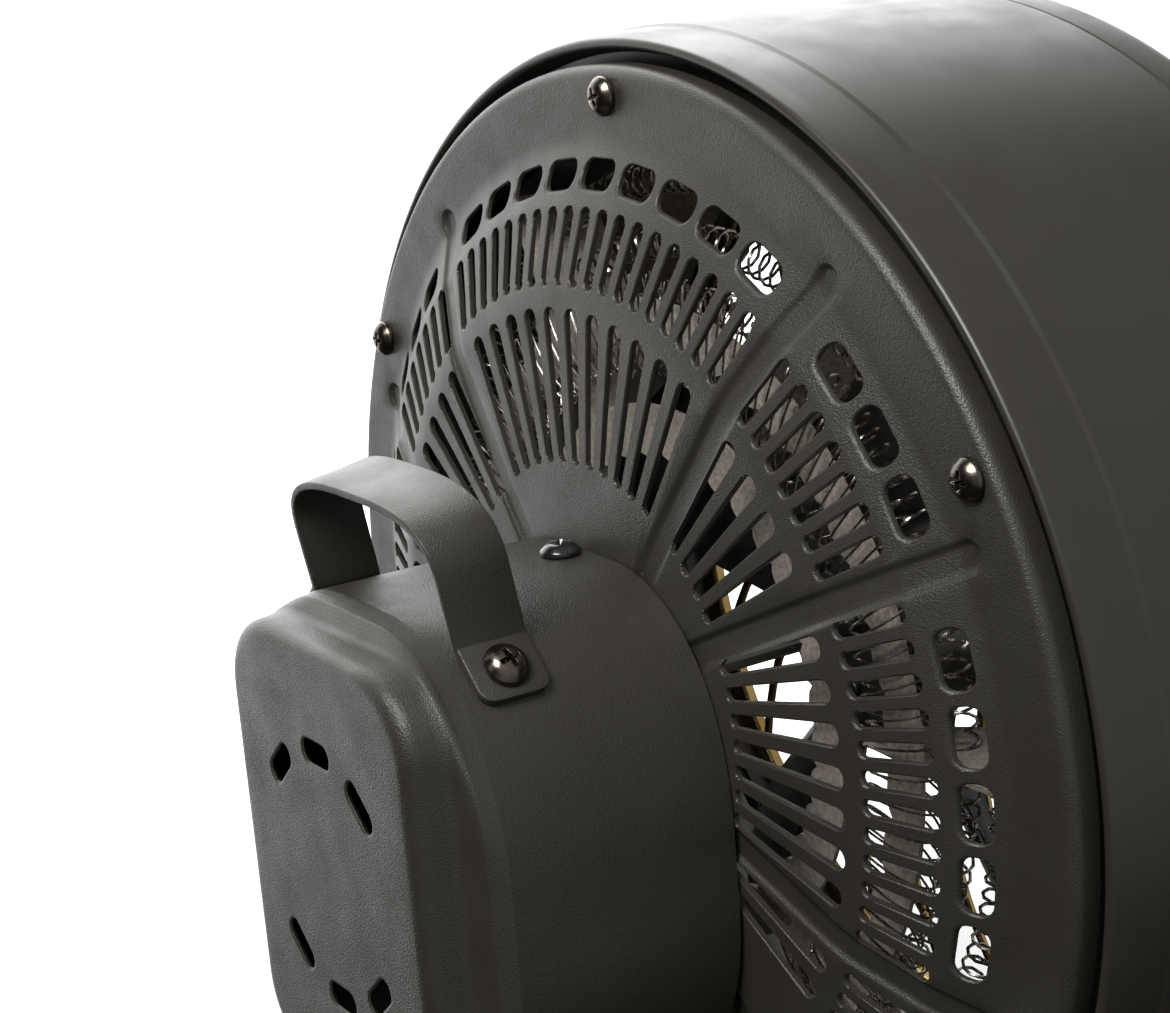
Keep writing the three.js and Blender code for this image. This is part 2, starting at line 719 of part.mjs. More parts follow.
// ---------------------------------------------------------------- motor cover
// One corner of the cover's outline: a quarter of a slightly squared ellipse.
function coverOutline(y, inset, share) {
  const halfWidth = COVER_HALF_WIDTH - inset;
  const top = COVER_TOP - inset * COVER_TOP_SHARE;
  const bottom = COVER_BOTTOM + inset * COVER_TOP_SHARE;
  const across = THREE.MathUtils.lerp(COVER_CORNER[0], STEP_CORNER[0], share);
  const up = THREE.MathUtils.lerp(COVER_CORNER[1], STEP_CORNER[1], share);
  const steps = 6;
  const squareness = 1 / 1.08;
  const quarter = Array.from({ length: steps + 1 }, (_, i) => {
    const turn = (i / steps) * (Math.PI / 2);
    return [Math.sin(turn) ** squareness, Math.cos(turn) ** squareness];
  });
  const points = [];
  for (const [s, c] of quarter) points.push([halfWidth - across + across * s, top - up + up * c]);
  for (const [s, c] of quarter) {
    points.push([halfWidth - across + across * c, bottom + up - up * s]);
  }
  for (const [s, c] of quarter) {
    points.push([-halfWidth + across - across * s, bottom + up - up * c]);
  }
  for (const [s, c] of quarter) points.push([-halfWidth + across - across * c, top - up + up * s]);
  return points.map(([x, z]) => new THREE.Vector3(x, y, z));
}

function makeCover() {
  const outside = loft(COVER_STATIONS.map(([y, inset, share]) => coverOutline(y, inset, share)));
  const inside = loft(
    COVER_STATIONS.map(([y, inset, share], i) =>
      coverOutline(i === 0 ? y - 5 : y - COVER_SHEET, inset + COVER_SHEET, share),
    ),
  );
  const vent = roundedRectangle(
    -VENT_SIZE[0] / 2,
    VENT_RING_R - VENT_SIZE[1] / 2,
    VENT_SIZE[0] / 2,
    VENT_RING_R + VENT_SIZE[1] / 2,
    2,
  );
  const ventCut = pushedY(vent, COVER_REAR - 10, FAR, 3);
  const vents = VENT_ANGLES.map((angle) =>
    aboutAxis(ventCut, angle).translate([0, 0, VENT_CENTRE_Z]),
  );
  return cut(outside, inside, join(...vents), coverScrewHoles(), ...handleScrewHoles());
}

// One long tool makes both the upper and the lower hole.
const coverScrewHoles = () => barZ(SCREW_HOLE_R, -FAR, FAR, 0, COVER_SCREW_Y, 8);

// A ring inside the cover's mouth, which the cover screws hold.
function makeMountFrame() {
  const ring = (inset, y0, y1) => loft([coverOutline(y0, inset, 0), coverOutline(y1, inset, 0)]);
  const outer = COVER_SHEET + GAP;
  const body = cut(
    ring(outer, COVER_FRONT, COVER_FRONT + 10),
    ring(outer + 2, COVER_FRONT - 1, COVER_FRONT + 11),
  );
  return cut(body, coverScrewHoles());
}

// ---------------------------------------------------------------- handle
// The point of the cover's outline where its slope first passes that of the feet.
function footMiddle() {
  const shoulder = coverOutline(0, 0, 0).filter((p) => p.x > 0 && p.z > 0);
  const slopeOf = (a, b) => Math.atan2(a.z - b.z, b.x - a.x);
  const past = shoulder.findIndex(
    (p, i) => i + 1 < shoulder.length && slopeOf(p, shoulder[i + 1]) > rad(FOOT_SLOPE),
  );
  return shoulder.at(past);
}

// The strap's middle line in X and Z, from the right foot's end over the top to the left.
function strapLine() {
  const middle = footMiddle();
  const [along, across] = [Math.cos(rad(FOOT_SLOPE)), Math.sin(rad(FOOT_SLOPE))];
  const lift = FOOT_LIFT + STRAP_THICK / 2;
  const anchor = [middle.x + across * lift, middle.z + along * lift];
  const bend = (STRAP_HALF_SPAN - anchor[0]) / along;
  const at = (distance) => [anchor[0] + along * distance, anchor[1] - across * distance];
  const half = [at(bend + STRAP_FOOT), at(bend)];
  const spring = STRAP_TOP - STRAP_THICK / 2 - STRAP_ARCH;
  const steps = 8;
  for (let i = 0; i <= steps; i++) {
    const turn = (i / steps) * (Math.PI / 2);
    const [c, s] = [Math.cos(turn), Math.sin(turn)].map((v) => Math.abs(v) ** (2 / 3));
    half.push([STRAP_HALF_SPAN * c, spring + STRAP_ARCH * s]);
  }
  const otherHalf = half.slice(0, -1).map(([x, z]) => [-x, z]);
  return [...half, ...otherHalf.reverse()];
}

// The strap's section is its middle line, moved by half the thickness to both sides.
// Above the feet the strap leans backwards, and its width turns with it.
function makeHandle() {
  const line = strapLine();
  const side = (sign) =>
    line.map(([x, z], i) => {
      const before = line[Math.max(i - 1, 0)];
      const after = line[Math.min(i + 1, line.length - 1)];
      const along = new THREE.Vector2(after[0] - before[0], after[1] - before[1]).normalize();
      const reach = (sign * STRAP_THICK) / 2;
      return new THREE.Vector2(x - along.y * reach, z + along.x * reach);
    });
  const shape = new THREE.Shape([...side(-1), ...side(1).reverse()]);
  const strap = pushedY(shape, STRAP_REAR_Y - STRAP_WIDTH, STRAP_REAR_Y);
  const low = line[1][1];
  const lean = Math.sin(rad(STRAP_LEAN));
  const leaned = strap.warp((point) => {
    const height = Math.max(point[2] - low, 0);
    const share = Math.min(height / (STRAP_TOP - low), 1);
    point[2] += (STRAP_REAR_Y - point[1]) * lean * share;
    point[1] += lean * height;
  });
  return cut(leaned, ...handleScrewHoles());
}

// Places a solid drawn about the Z axis on a foot of the strap, on the given side.
function onFoot(made, side) {
  const [end, bend] = strapLine();
  const x = (end[0] + bend[0]) / 2;
  const z = (end[1] + bend[1]) / 2;
  const y = STRAP_REAR_Y - STRAP_WIDTH / 2;
  return made.rotate([0, side * FOOT_SLOPE, 0]).translate([side * x, y, z]);
}

const handleScrewHoles = () => [-1, 1].map((side) => onFoot(barZ(SCREW_HOLE_R, -8, 8), side));

// ---------------------------------------------------------------- screws
// A pan-head screw along +Z: its head stands on the plane z = 0.
function panScrew(headR, headH, length) {
  const half = [
    [0, -length],
    [SCREW_SHANK_R, -length],
    [SCREW_SHANK_R, 0],
    [headR, 0],
    [headR, headH * 0.4],
    [headR * 0.5, headH],
    [0, headH],
  ];
  return turned(half, SMALL_ROUND).rotate([90, 0, 0]);
}

const grilleScrew = (angle) => {
  const upright = panScrew(SCREW_HEAD_R, SCREW_HEAD_H, SCREW_LENGTH - RETURN_Y);
  return aboutAxis(upright.rotate([-90, 0, 0]).translate([0, GAP, GRILLE_SCREW_R]), angle);
};

const handleScrew = (side) => {
  const upright = panScrew(HANDLE_SCREW_HEAD_R, SCREW_HEAD_H + 0.6, SCREW_LENGTH);
  return onFoot(upright.translate([0, 0, STRAP_THICK / 2 + GAP]), side);
};

const coverScrew = (turn, z) =>
  panScrew(SCREW_HEAD_R + 0.2, SCREW_HEAD_H, COVER_SCREW_LENGTH)
    .rotate([turn, 0, 0])
    .translate([0, COVER_SCREW_Y, z]);

// ---------------------------------------------------------------- stand and controls
function makeControlBox() {
  const low = PLATE_BOTTOM + PLATE_THICK + GAP;
  const t = BOX_SHEET;
  const outline = roundedRectangle(-BOX_HALF_X, BOX_FRONT, BOX_HALF_X, BOX_REAR, BOX_CORNER);
  const hollow = roundedRectangle(
    -BOX_HALF_X + t,
    BOX_FRONT + t,
    BOX_HALF_X - t,
    BOX_REAR - t,
    BOX_CORNER - t,
  );
  const box = cut(pushedZ(outline, low, BOX_TOP, 5), pushedZ(hollow, low - 1, BOX_TOP - t, 5));
  const knobHoles = [-CONTROL_X, CONTROL_X].map((x) =>
    barY(KNOB_SHAFT_R + 1, BOX_FRONT - 5, BOX_FRONT + 5, x, CONTROL_Z),
  );
  const lampHole = barY(LAMP_R + GAP, BOX_FRONT - 5, BOX_FRONT + 5, 0, CONTROL_Z);
  const glandHole = barY(GLAND_R - 1.5 + GAP, BOX_REAR - 5, BOX_REAR + 5, 0, GLAND_Z);
  return cut(box, ...knobHoles, lampHole, glandHole);
}

function makeBasePlate() {
  const outline = roundedRectangle(
    -PLATE_HALF_X,
    -PLATE_HALF_Y,
    PLATE_HALF_X,
    PLATE_HALF_Y,
    PLATE_CORNER,
  );
  const plate = pushedZ(outline, PLATE_BOTTOM, PLATE_BOTTOM + PLATE_THICK, 6);
  return cut(plate, barZ(PLUNGER_R + 1, 0, 20, 0, PLUNGER_Y));
}

function makeRubberFoot(x, y) {
  const foot = turned(
    [
      [0, 0],
      [FOOT_R - 1, 0],
      [FOOT_R, 1.5],
      [FOOT_R, PLATE_BOTTOM - GAP],
      [0, PLATE_BOTTOM - GAP],
    ],
    16,
  );
  return foot.rotate([90, 0, 0]).translate([x, y, 0]);
}

// A hollow saddle between the box's top and the barrel's underside.
function makeSaddle() {
  const low = BOX_TOP + GAP;
  const s = SADDLE_SHEET;
  const drum = (radius) =>
    barY(radius, SADDLE_FRONT - s, SADDLE_REAR + s, 0, AXIS_Z, 2 * ROUND);
  const outside = block(
    [-SADDLE_HALF_X, SADDLE_FRONT, low],
    [SADDLE_HALF_X, SADDLE_REAR, SADDLE_TOP],
  );
  const inside = block(
    [-SADDLE_HALF_X + s, SADDLE_FRONT + s, low - 1],
    [SADDLE_HALF_X - s, SADDLE_REAR - s, SADDLE_TOP - 1],
  );
  const seat = BARREL_R + GAP;
  return cut(cut(outside, drum(seat)), cut(inside, drum(seat + s)));
}

function makeKnob(x) {
  const back = BOX_FRONT - GAP;
  const front = back - KNOB_H;
  const dial = turned(
    [
      [0, back],
      [KNOB_R, back],
      [KNOB_R - 0.8, front + 1.5],
      [KNOB_R - 2.3, front],
      [0, front],
    ],
    24,
  ).translate([x, 0, CONTROL_Z]);
  const pointer = block(
    [x - 1.2, front - 0.8, CONTROL_Z + 2],
    [x + 1.2, front + 1, CONTROL_Z + KNOB_R - 2.5],
  );
  const shaft = barY(KNOB_SHAFT_R, back - 1, back + KNOB_SHAFT_LENGTH, x, CONTROL_Z);
  return join(dial, pointer, shaft);
}

function makeSwitchBody(x) {
  const [width, depth, height] = SWITCH_SIZE;
  const front = BOX_FRONT + BOX_SHEET + GAP;
  const body = block(
    [x - width / 2, front, CONTROL_Z - height / 2],
    [x + width / 2, front + depth, CONTROL_Z + height / 2],
  );
  return cut(body, barY(KNOB_SHAFT_R + GAP, front - 5, front + depth - 2, x, CONTROL_Z));
}

const makeLamp = () => {
  const lens = barY(LAMP_R, BOX_FRONT - 2, BOX_FRONT + 8, 0, CONTROL_Z);
  return join(lens, barY(LAMP_R + 1.5, BOX_FRONT - 1.5, BOX_FRONT - GAP, 0, CONTROL_Z));
};

function makeGland() {
  const neck = barY(GLAND_R - 1.5, BOX_REAR - 6, BOX_REAR + 2, 0, GLAND_Z, 18);
  const flange = barY(GLAND_R, BOX_REAR + GAP, BOX_REAR + 4, 0, GLAND_Z, 18);
  return cut(join(neck, flange), barY(GLAND_BORE_R, BOX_REAR - 10, BOX_REAR + 10, 0, GLAND_Z, 18));
}

function makePlunger() {
  const collarZ = PLATE_BOTTOM + PLATE_THICK + 4.5;
  const pin = barZ(PLUNGER_R, 0, PLUNGER_TOP, 0, PLUNGER_Y);
  return join(pin, barZ(PLUNGER_COLLAR_R, collarZ, collarZ + 2, 0, PLUNGER_Y));
}

function makeTipSwitch() {
  const low = PLATE_BOTTOM + PLATE_THICK + 9;
  const body = block([-10, PLUNGER_Y - 8, low], [10, PLUNGER_Y + 8, BOX_TOP - BOX_SHEET - GAP]);
  return cut(body, barZ(PLUNGER_R + GAP, low - 1, PLUNGER_TOP + 3, 0, PLUNGER_Y));
}

const makeTerminalBlock = () => {
  const low = PLATE_BOTTOM + PLATE_THICK + GAP;
  return block([-18, 25, low], [18, 40, low + 14]);
};

// ---------------------------------------------------------------- the whole heater
addNode(head, "rear_grille", makeRearGrille(), powderCoat);
addNode(head, "barrel", makeBarrel(), barrelPaint);
addNode(head, "front_bezel", makeBezel(), barrelPaint);
addNode(head, "air_duct", makeDuct(), galvanised);
addNode(head, "front_guard", makeGuard(), guardMetal);
addNode(head, "guard_badge", makeBadge(), barrelPaint);
addNode(head, "mica_frame", makeMicaFrame(), micaBoard);
["inner", "middle", "outer"].forEach((place, i) =>
  addNode(head, `heating_coil_${place}`, makeCoil(COIL_RADII[i]), heatingWire),
);
addNode(head, "thermal_cutout", makeThermalCutout(), bareSteel);
addNode(head, "impeller", makeImpeller(), galvanised);
addNode(head, "impeller_nut", makeImpellerNut(), bareSteel);
addNode(head, "motor_shaft", makeShaft(), bareSteel);
addNode(head, "rotor", makeRotor(), bareSteel);
addNode(head, "stator_core", makeStator(), galvanised);
addNode(head, "field_coil", makeFieldCoil(), copper);
const rearBracketY = STATOR_REAR + BRACKET_OFFSET;
const frontBracketY = STATOR_FRONT - BRACKET_OFFSET - BRACKET_THICK;
addNode(head, "motor_bracket_rear", makeBracket(rearBracketY), galvanised);
addNode(head, "motor_bracket_front", makeBracket(frontBracketY), galvanised);
addNode(head, "bushing_rear", makeBushing(rearBracketY + BRACKET_THICK / 2 - 1), bronze);
addNode(head, "bushing_front", makeBushing(frontBracketY + BRACKET_THICK / 2 + 1), bronze);
addNode(head, "motor_bolt_left", makeMotorBolt(BOLT_X), bareSteel);
addNode(head, "motor_bolt_right", makeMotorBolt(-BOLT_X), bareSteel);
addNode(head, "motor_cover", makeCover(), powderCoat);
addNode(head, "cover_mount_frame", makeMountFrame(), galvanised);
addNode(head, "handle", makeHandle(), powderCoat);
GRILLE_SCREW_ANGLES.forEach((angle, i) =>
  addNode(head, `grille_screw_${i + 1}`, grilleScrew(angle), darkNickel),
);
addNode(head, "handle_screw_left", handleScrew(1), darkNickel);
addNode(head, "handle_screw_right", handleScrew(-1), darkNickel);
addNode(head, "cover_screw_top", coverScrew(0, COVER_TOP + GAP), blackPlastic);
addNode(head, "cover_screw_bottom", coverScrew(180, COVER_BOTTOM - GAP), blackPlastic);
addNode(heater, "control_box", makeControlBox(), powderCoat);
addNode(heater, "base_plate", makeBasePlate(), powderCoat);
addNode(heater, "stand_saddle", makeSaddle().translate([0, 0, 0]), powderCoat);
let footNumber = 0;
for (const x of [-FOOT_X, FOOT_X]) {
  for (const y of [-FOOT_Y, FOOT_Y]) {
    footNumber += 1;
    addNode(heater, `rubber_foot_${footNumber}`, makeRubberFoot(x, y), rubber);
  }
}
addNode(heater, "heat_knob", makeKnob(CONTROL_X), blackPlastic);
addNode(heater, "thermostat_knob", makeKnob(-CONTROL_X), blackPlastic);
addNode(heater, "heat_switch", makeSwitchBody(CONTROL_X), blackPlastic);
addNode(heater, "thermostat_body", makeSwitchBody(-CONTROL_X), bareSteel);
addNode(heater, "indicator_lamp", makeLamp(), amberLens);
addNode(heater, "cord_gland", makeGland(), blackPlastic);
addNode(heater, "tip_plunger", makePlunger(), bareSteel);
addNode(heater, "tip_switch", makeTipSwitch(), blackPlastic);
addNode(heater, "terminal_block", makeTerminalBlock(), blackPlastic);

export default heater;
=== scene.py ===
"""Looks for a round, all-metal fan heater on a sheet-steel stand.

Shapes are drawn in millimetres. The head's pieces are drawn about the fan axis: x to the
side, y along the axis from the rear grille's flange plane (rear is +y), z up. The stand's
pieces are drawn from the floor, under the middle of the heater. An angle about the axis is
0 at the top and grows towards -x.
"""
import math

import bmesh
import bpy
import numpy as np
from mathutils import Matrix, Vector
from mathutils.geometry import delaunay_2d_cdt


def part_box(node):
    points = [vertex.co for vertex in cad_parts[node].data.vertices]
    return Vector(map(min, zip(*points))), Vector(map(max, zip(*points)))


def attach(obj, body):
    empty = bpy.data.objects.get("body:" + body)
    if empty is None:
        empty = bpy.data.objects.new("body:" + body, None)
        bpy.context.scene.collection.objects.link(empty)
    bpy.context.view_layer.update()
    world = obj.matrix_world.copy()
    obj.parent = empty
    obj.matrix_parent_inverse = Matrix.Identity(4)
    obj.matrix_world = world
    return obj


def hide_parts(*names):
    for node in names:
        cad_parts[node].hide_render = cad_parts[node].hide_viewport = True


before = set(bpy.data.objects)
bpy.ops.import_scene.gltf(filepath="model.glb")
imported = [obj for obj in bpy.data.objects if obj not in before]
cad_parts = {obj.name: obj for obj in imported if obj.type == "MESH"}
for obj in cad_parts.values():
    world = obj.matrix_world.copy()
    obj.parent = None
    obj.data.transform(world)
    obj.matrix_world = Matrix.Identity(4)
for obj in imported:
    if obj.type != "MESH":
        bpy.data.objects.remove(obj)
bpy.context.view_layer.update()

MM = 0.001
TURN = 2 * math.pi

# ---------------------------------------------------------------- sizes, in millimetres
BARREL_FRONT = -84.0
barrel_low, barrel_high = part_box("barrel")
HEAD = Vector((0, barrel_low.y - BARREL_FRONT * MM, (barrel_low.z + barrel_high.z) / 2))
FLOOR = Vector((0, 0, 0))
AXIS_Z = HEAD.z / MM
BARREL_R = (barrel_high.z - barrel_low.z) / 2 / MM

# Rear grille
RIM_R = BARREL_R - 6.3
LIP_ROUND = 2.5
LIP_DEPTH = 6.3
SHEET = 1.2
FLANGE_R = RIM_R - 14.7
DISH = [(9.0, 14.0), (48.7, 13.7), (82.0, 11.9), (99.5, 6.3), (FLANGE_R, 0.0), (RIM_R - LIP_ROUND, 0.0)]
DISH_ROUNDING = [0, 60, 30, 14, 7, 0]
SLOT_ROWS = [
    # inner radius, outer radius, pitch in degrees, inner width, outer width, corner radius
    (102.3, 108.2, 7.44, 10.8, 11.4, 2.5),
    (84.1, 99.3, 3.627, 3.0, 3.6, 1.8),
    (48.7, 79.8, 5.857, 2.7, 4.4, 2.2),
]
SLOT_EDGE = [(0.75, 0.0), (0.3, 0.0), (0.0, 0.3)]  # outlines round a slot: how far out and how low
EXTRA_RADII = {24.0, 36.0, 81.0, 119.0}  # circles that keep the sheet's triangles short
RIB_ANGLES = [37.1, 65.8, 111.5, 143.0]
ALL_RIBS = RIB_ANGLES + [-a for a in RIB_ANGLES] + [180]
RIB_HALF_WIDTH = 3.5
RIB_FLOOR_HALF_WIDTH = 1.9
RIB_STEPS = 4
RIB_DEPTH = 0.9
RIB_INNER_R = 36.0
RIB_OUTER_R = FLANGE_R + 5
RIB_CLEARANCE = 3.3
COVER_SHADOW_ANGLE = 128

# Motor cover
COVER_HALF_WIDTH = 47.5
COVER_TOP = 31.2
COVER_BOTTOM = -75.2
COVER_FRONT = 14.1
COVER_REAR = 77.3
COVER_PROFILE = [
    # along the axis, inset, rounding radius
    (COVER_FRONT, 0, 0),
    (COVER_REAR - 13.9, 0, 0.9),
    (COVER_REAR - 10.5, 2.1, 1.2),
    (COVER_REAR - 8.2, 8.6, 3.0),
    (COVER_REAR, 9.9, 4.2),
    (COVER_REAR, 17, 0),
]
SHARE_STEPS = [0, 1.8, 5.4, 8.4, 9.5]
SHARES = [0, 0.2, 0.7, 0.95, 1]
COVER_TOP_SHARE = 0.56
COVER_CORNER = (38.0, 46.0)
STEP_CORNER = (19.0, 16.0)
SQUARENESS = 1 / 1.08
VENT_RING_R = 25.6
VENT_CENTRE_Z = -21.5
VENT_ANGLES = [0, 41, 139, 180, 221, 319]
VENT_SIZE = (11.0, 4.8)
VENT_CORNER = 2.2
VENT_EDGE = [(0.8, 0.0), (0.35, 0.0), (0.0, 0.35)]

# Handle
STRAP_WIDTH = 15.0
STRAP_THICK = 1.6
STRAP_REAR_Y = COVER_REAR - 17
STRAP_HALF_SPAN = COVER_HALF_WIDTH - 18.3
STRAP_TOP = COVER_TOP + 22.3
STRAP_ARCH = 14.0
STRAP_LEAN = math.radians(10)
STRAP_FOOT = 12.5
FOOT_SLOPE = math.radians(43.5)
FOOT_LIFT = 0.3
FOOT_CORNER = 3.0
FOOT_STATIONS = (0, 0.01, 0.03, 0.06, 0.1, 0.16, 0.24, 0.45, 0.7)  # close together at the round end
FOLD_RADIUS = 1.3


# ---------------------------------------------------------------- drawing helpers
def polar(r, degrees, y=0.0):
    """A point about the fan axis."""
    a = math.radians(degrees)
    return (-r * math.sin(a), y, r * math.cos(a))


def rounded(points, radii, closed=True, steps=5):
    """The outline with an arc in place of each corner; radii is one number or one per corner."""
    if not hasattr(radii, "__len__"):
        radii = [radii] * len(points)
    corners = [Vector(p) for p in points]
    made = []
    for i, corner in enumerate(corners):
        at_end = not closed and i in (0, len(corners) - 1)
        if at_end or radii[i] == 0:
            made.append(tuple(corner))
            continue
        back = corners[i - 1] - corner
        ahead = corners[(i + 1) % len(corners)] - corner
        half = back.angle(ahead) / 2
        if half > math.pi / 2 - 1e-3:
            made.append(tuple(corner))
            continue
        reach = min(radii[i] / math.tan(half), 0.499 * min(back.length, ahead.length))
        radius = reach * math.tan(half)
        back, ahead = back.normalized(), ahead.normalized()
        centre = corner + (back + ahead).normalized() * (radius / math.sin(half))
        first = corner + back * reach - centre
        last = corner + ahead * reach - centre
        sweep = math.atan2(first.x * last.y - first.y * last.x, first.dot(last))
        for k in range(steps + 1):
            turned = Matrix.Rotation(sweep * k / steps, 2) @ first
            made.append(tuple(centre + turned))
    return made


def rounded_rectangle(x0, y0, x1, y1, radius, steps=6):
    return rounded([(x0, y0), (x1, y0), (x1, y1), (x0, y1)], radius, steps=steps)


def filled(loops):
    """Triangles between outlines, each given as (points, drop, whether it is a hole)."""
    points, edges, holes, drops = [], [], [], []
    for outline, drop, is_hole in loops:
        ring = list(range(len(points), len(points) + len(outline)))
        points.extend(Vector(p) for p in outline)
        drops.extend([drop] * len(ring))
        edges.extend(zip(ring, ring[1:] + ring[:1]))
        if is_hole:
            holes.append(ring)
    flat, _, triangles, origins, _, inside = delaunay_2d_cdt(points, edges, holes, 0, 0.005)
    kept = [t for t, faces in zip(triangles, inside) if not faces]
    lowered = [max((drops[i] for i in sources), default=0.0) for sources in origins]
    return flat, lowered, kept


class Form:
    """Points and faces of one piece, collected from several parts."""

    def __init__(self):
        self.points = []
        self.faces = []

    def add(self, points, faces):
        start = len(self.points)
        self.points.extend(tuple(p) for p in points)
        self.faces.extend(tuple(i + start for i in face) for face in faces)
        return self

    def skin(self, rows, round_rows=True, cap_first=False, cap_last=False):
        """Quads through rows of equal numbers of points."""
        count = len(rows[0])
        points = [p for row in rows for p in row]
        faces = []
        around = count if round_rows else count - 1
        for r in range(len(rows) - 1):
            for i in range(around):
                a, b = r * count + i, r * count + (i + 1) % count
                faces.append((a, b, b + count, a + count))
        if cap_first:
            faces.append(tuple(range(count))[::-1])
        if cap_last:
            faces.append(tuple(range(len(points) - count, len(points))))
        return self.add(points, faces)

    def lathe(self, profile, sides=96, closed=True):
        """Turns a list of (radius, y) about the fan axis."""
        loop = list(profile) + ([profile[0]] if closed else [])
        return self.skin([[polar(r, 360 * i / sides, y) for i in range(sides)] for r, y in loop])

    def tube(self, path, radius, sides=6, closed=False):
        """A round bar along a path."""
        line = [Vector(p) for p in path]
        count = len(line)
        turns = [TURN * k / sides for k in range(sides)]
        rows = []
        side = None
        for i, p in enumerate(line):
            before = line[i - 1] if closed or i > 0 else p
            after = line[(i + 1) % count] if closed or i < count - 1 else p
            along = (after - before).normalized()
            if side is None:
                side = along.orthogonal()
            side = (side - along * side.dot(along)).normalized()
            up = along.cross(side)
            rows.append([p + side * radius * math.cos(t) + up * radius * math.sin(t) for t in turns])
        if closed:
            rows.append(rows[0])
        return self.skin(rows, cap_first=not closed, cap_last=not closed)

    def placed(self, matrix):
        """The same form, moved by a 4x4 matrix."""
        moved = Form()
        return moved.add([matrix @ Vector(p) for p in self.points], self.faces)

    def join(self, other):
        return self.add(other.points, other.faces)


def about_axis(degrees):
    """Turns a form about the fan axis."""
    return Matrix.Rotation(-math.radians(degrees), 4, "Y")


MERGE_DISTANCE = 0.01
BEVEL_ANGLE = math.radians(35)


def mesh_of(name, form, origin):
    mesh = bpy.data.meshes.new(name)
    mesh.from_pydata([origin + Vector(p) * MM for p in form.points], [], form.faces)
    made = bmesh.new()
    made.from_mesh(mesh)
    bmesh.ops.remove_doubles(made, verts=made.verts, dist=MERGE_DISTANCE * MM)
    bmesh.ops.dissolve_degenerate(made, edges=made.edges, dist=0.001 * MM)
    bmesh.ops.recalc_face_normals(made, faces=made.faces)
    made.to_mesh(mesh)
    made.free()
    return mesh


def apply_modifiers(obj):
    bpy.context.view_layer.update()
    evaluated = obj.evaluated_get(bpy.context.evaluated_depsgraph_get())
    mesh = bpy.data.meshes.new_from_object(evaluated)
    obj.modifiers.clear()
    obj.data = mesh


def bevel(obj, width, segments):
    modifier = obj.modifiers.new("edge", "BEVEL")
    modifier.width = width * MM
    modifier.segments = segments
    modifier.limit_method = "ANGLE"
    modifier.angle_limit = BEVEL_ANGLE


def thicken(obj, thickness):
    """Gives an open shell its thickness, inwards."""
    modifier = obj.modifiers.new("sheet", "SOLIDIFY")
    modifier.thickness = thickness * MM
    modifier.offset = -1
    modifier.use_even_offset = True


def drill(obj, tool):
    modifier = obj.modifiers.new("hole", "BOOLEAN")
    modifier.operation = "DIFFERENCE"
    modifier.solver = "EXACT"
    modifier.object = tool


def piece(name, form, slot, nodes, body="housing", origin=HEAD, sheet=0, edge=0, drills=(),
          smooth=40, segments=2):
    """One visible piece that stands for CAD nodes, in the finish that its slot names."""
    mesh = mesh_of(name, form, origin)
    obj = bpy.data.objects.new(name, mesh)
    bpy.context.scene.collection.objects.link(obj)
    mesh.materials.append(FINISHES[slot])
    if sheet:
        thicken(obj, sheet)
    tools = []
    for tool_form in drills:
        tool = bpy.data.objects.new("tool", mesh_of("tool", tool_form, origin))
        bpy.context.scene.collection.objects.link(tool)
        drill(obj, tool)
        tools.append(tool)
    if edge:
        bevel(obj, edge, segments)
    if obj.modifiers:
        apply_modifiers(obj)
    for tool in tools:
        bpy.data.objects.remove(tool)
    obj.data.shade_smooth()
    obj.data.set_sharp_from_angle(angle=math.radians(smooth))
    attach(obj, body)
    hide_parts(*nodes)
    return obj


def bar(radius, start, end, sides=24):
    """A round tool between two points."""
    return Form().tube([start, end], radius, sides)


# ---------------------------------------------------------------- materials
class Nodes:
    """Shorthand for one material's node tree."""

    def __init__(self, name):
        self.material = bpy.data.materials.new(name)
        self.material.use_nodes = True
        self.tree = self.material.node_tree
        self.shader = self.tree.nodes["Principled BSDF"]
        self.place = self.tree.nodes.new("ShaderNodeTexCoord").outputs["Object"]

    def link(self, source, target):
        self.tree.links.new(source, target)

    def stretched(self, scale):
        """Object coordinates in millimetres, times a scale for each axis."""
        mapping = self.tree.nodes.new("ShaderNodeMapping")
        mapping.inputs["Scale"].default_value = [s / MM for s in scale]
        self.link(self.place, mapping.inputs["Vector"])
        return mapping.outputs["Vector"]

    def noise(self, size, detail, stretch):
        """Noise with features of about that size in millimetres."""
        node = self.tree.nodes.new("ShaderNodeTexNoise")
        node.inputs["Scale"].default_value = 1
        node.inputs["Detail"].default_value = detail
        self.link(self.stretched([s / size for s in stretch]), node.inputs["Vector"])
        return node.outputs["Fac"]

    def ramp(self, value, low, high):
        """Colours or greys between two values of a texture."""
        node = self.tree.nodes.new("ShaderNodeValToRGB")
        for element, position, value_there in zip(node.color_ramp.elements, (0.3, 0.7), (low, high)):
            element.position = position
            element.color = colour(value_there)
        self.link(value, node.inputs["Fac"])
        return node.outputs["Color"]

    def bump(self, heights):
        """Adds up (height, depth in millimetres) pairs as one surface relief."""
        normal = None
        for height, depth in heights:
            node = self.tree.nodes.new("ShaderNodeBump")
            node.inputs["Distance"].default_value = depth * MM
            self.link(height, node.inputs["Height"])
            if normal is not None:
                self.link(normal, node.inputs["Normal"])
            normal = node.outputs["Normal"]
        self.link(normal, self.shader.inputs["Normal"])


def colour(value):
    """A linear colour from one grey or three channels."""
    channels = [value] * 3 if isinstance(value, (int, float)) else list(value)
    return channels + [1.0]


FINISHES = {}


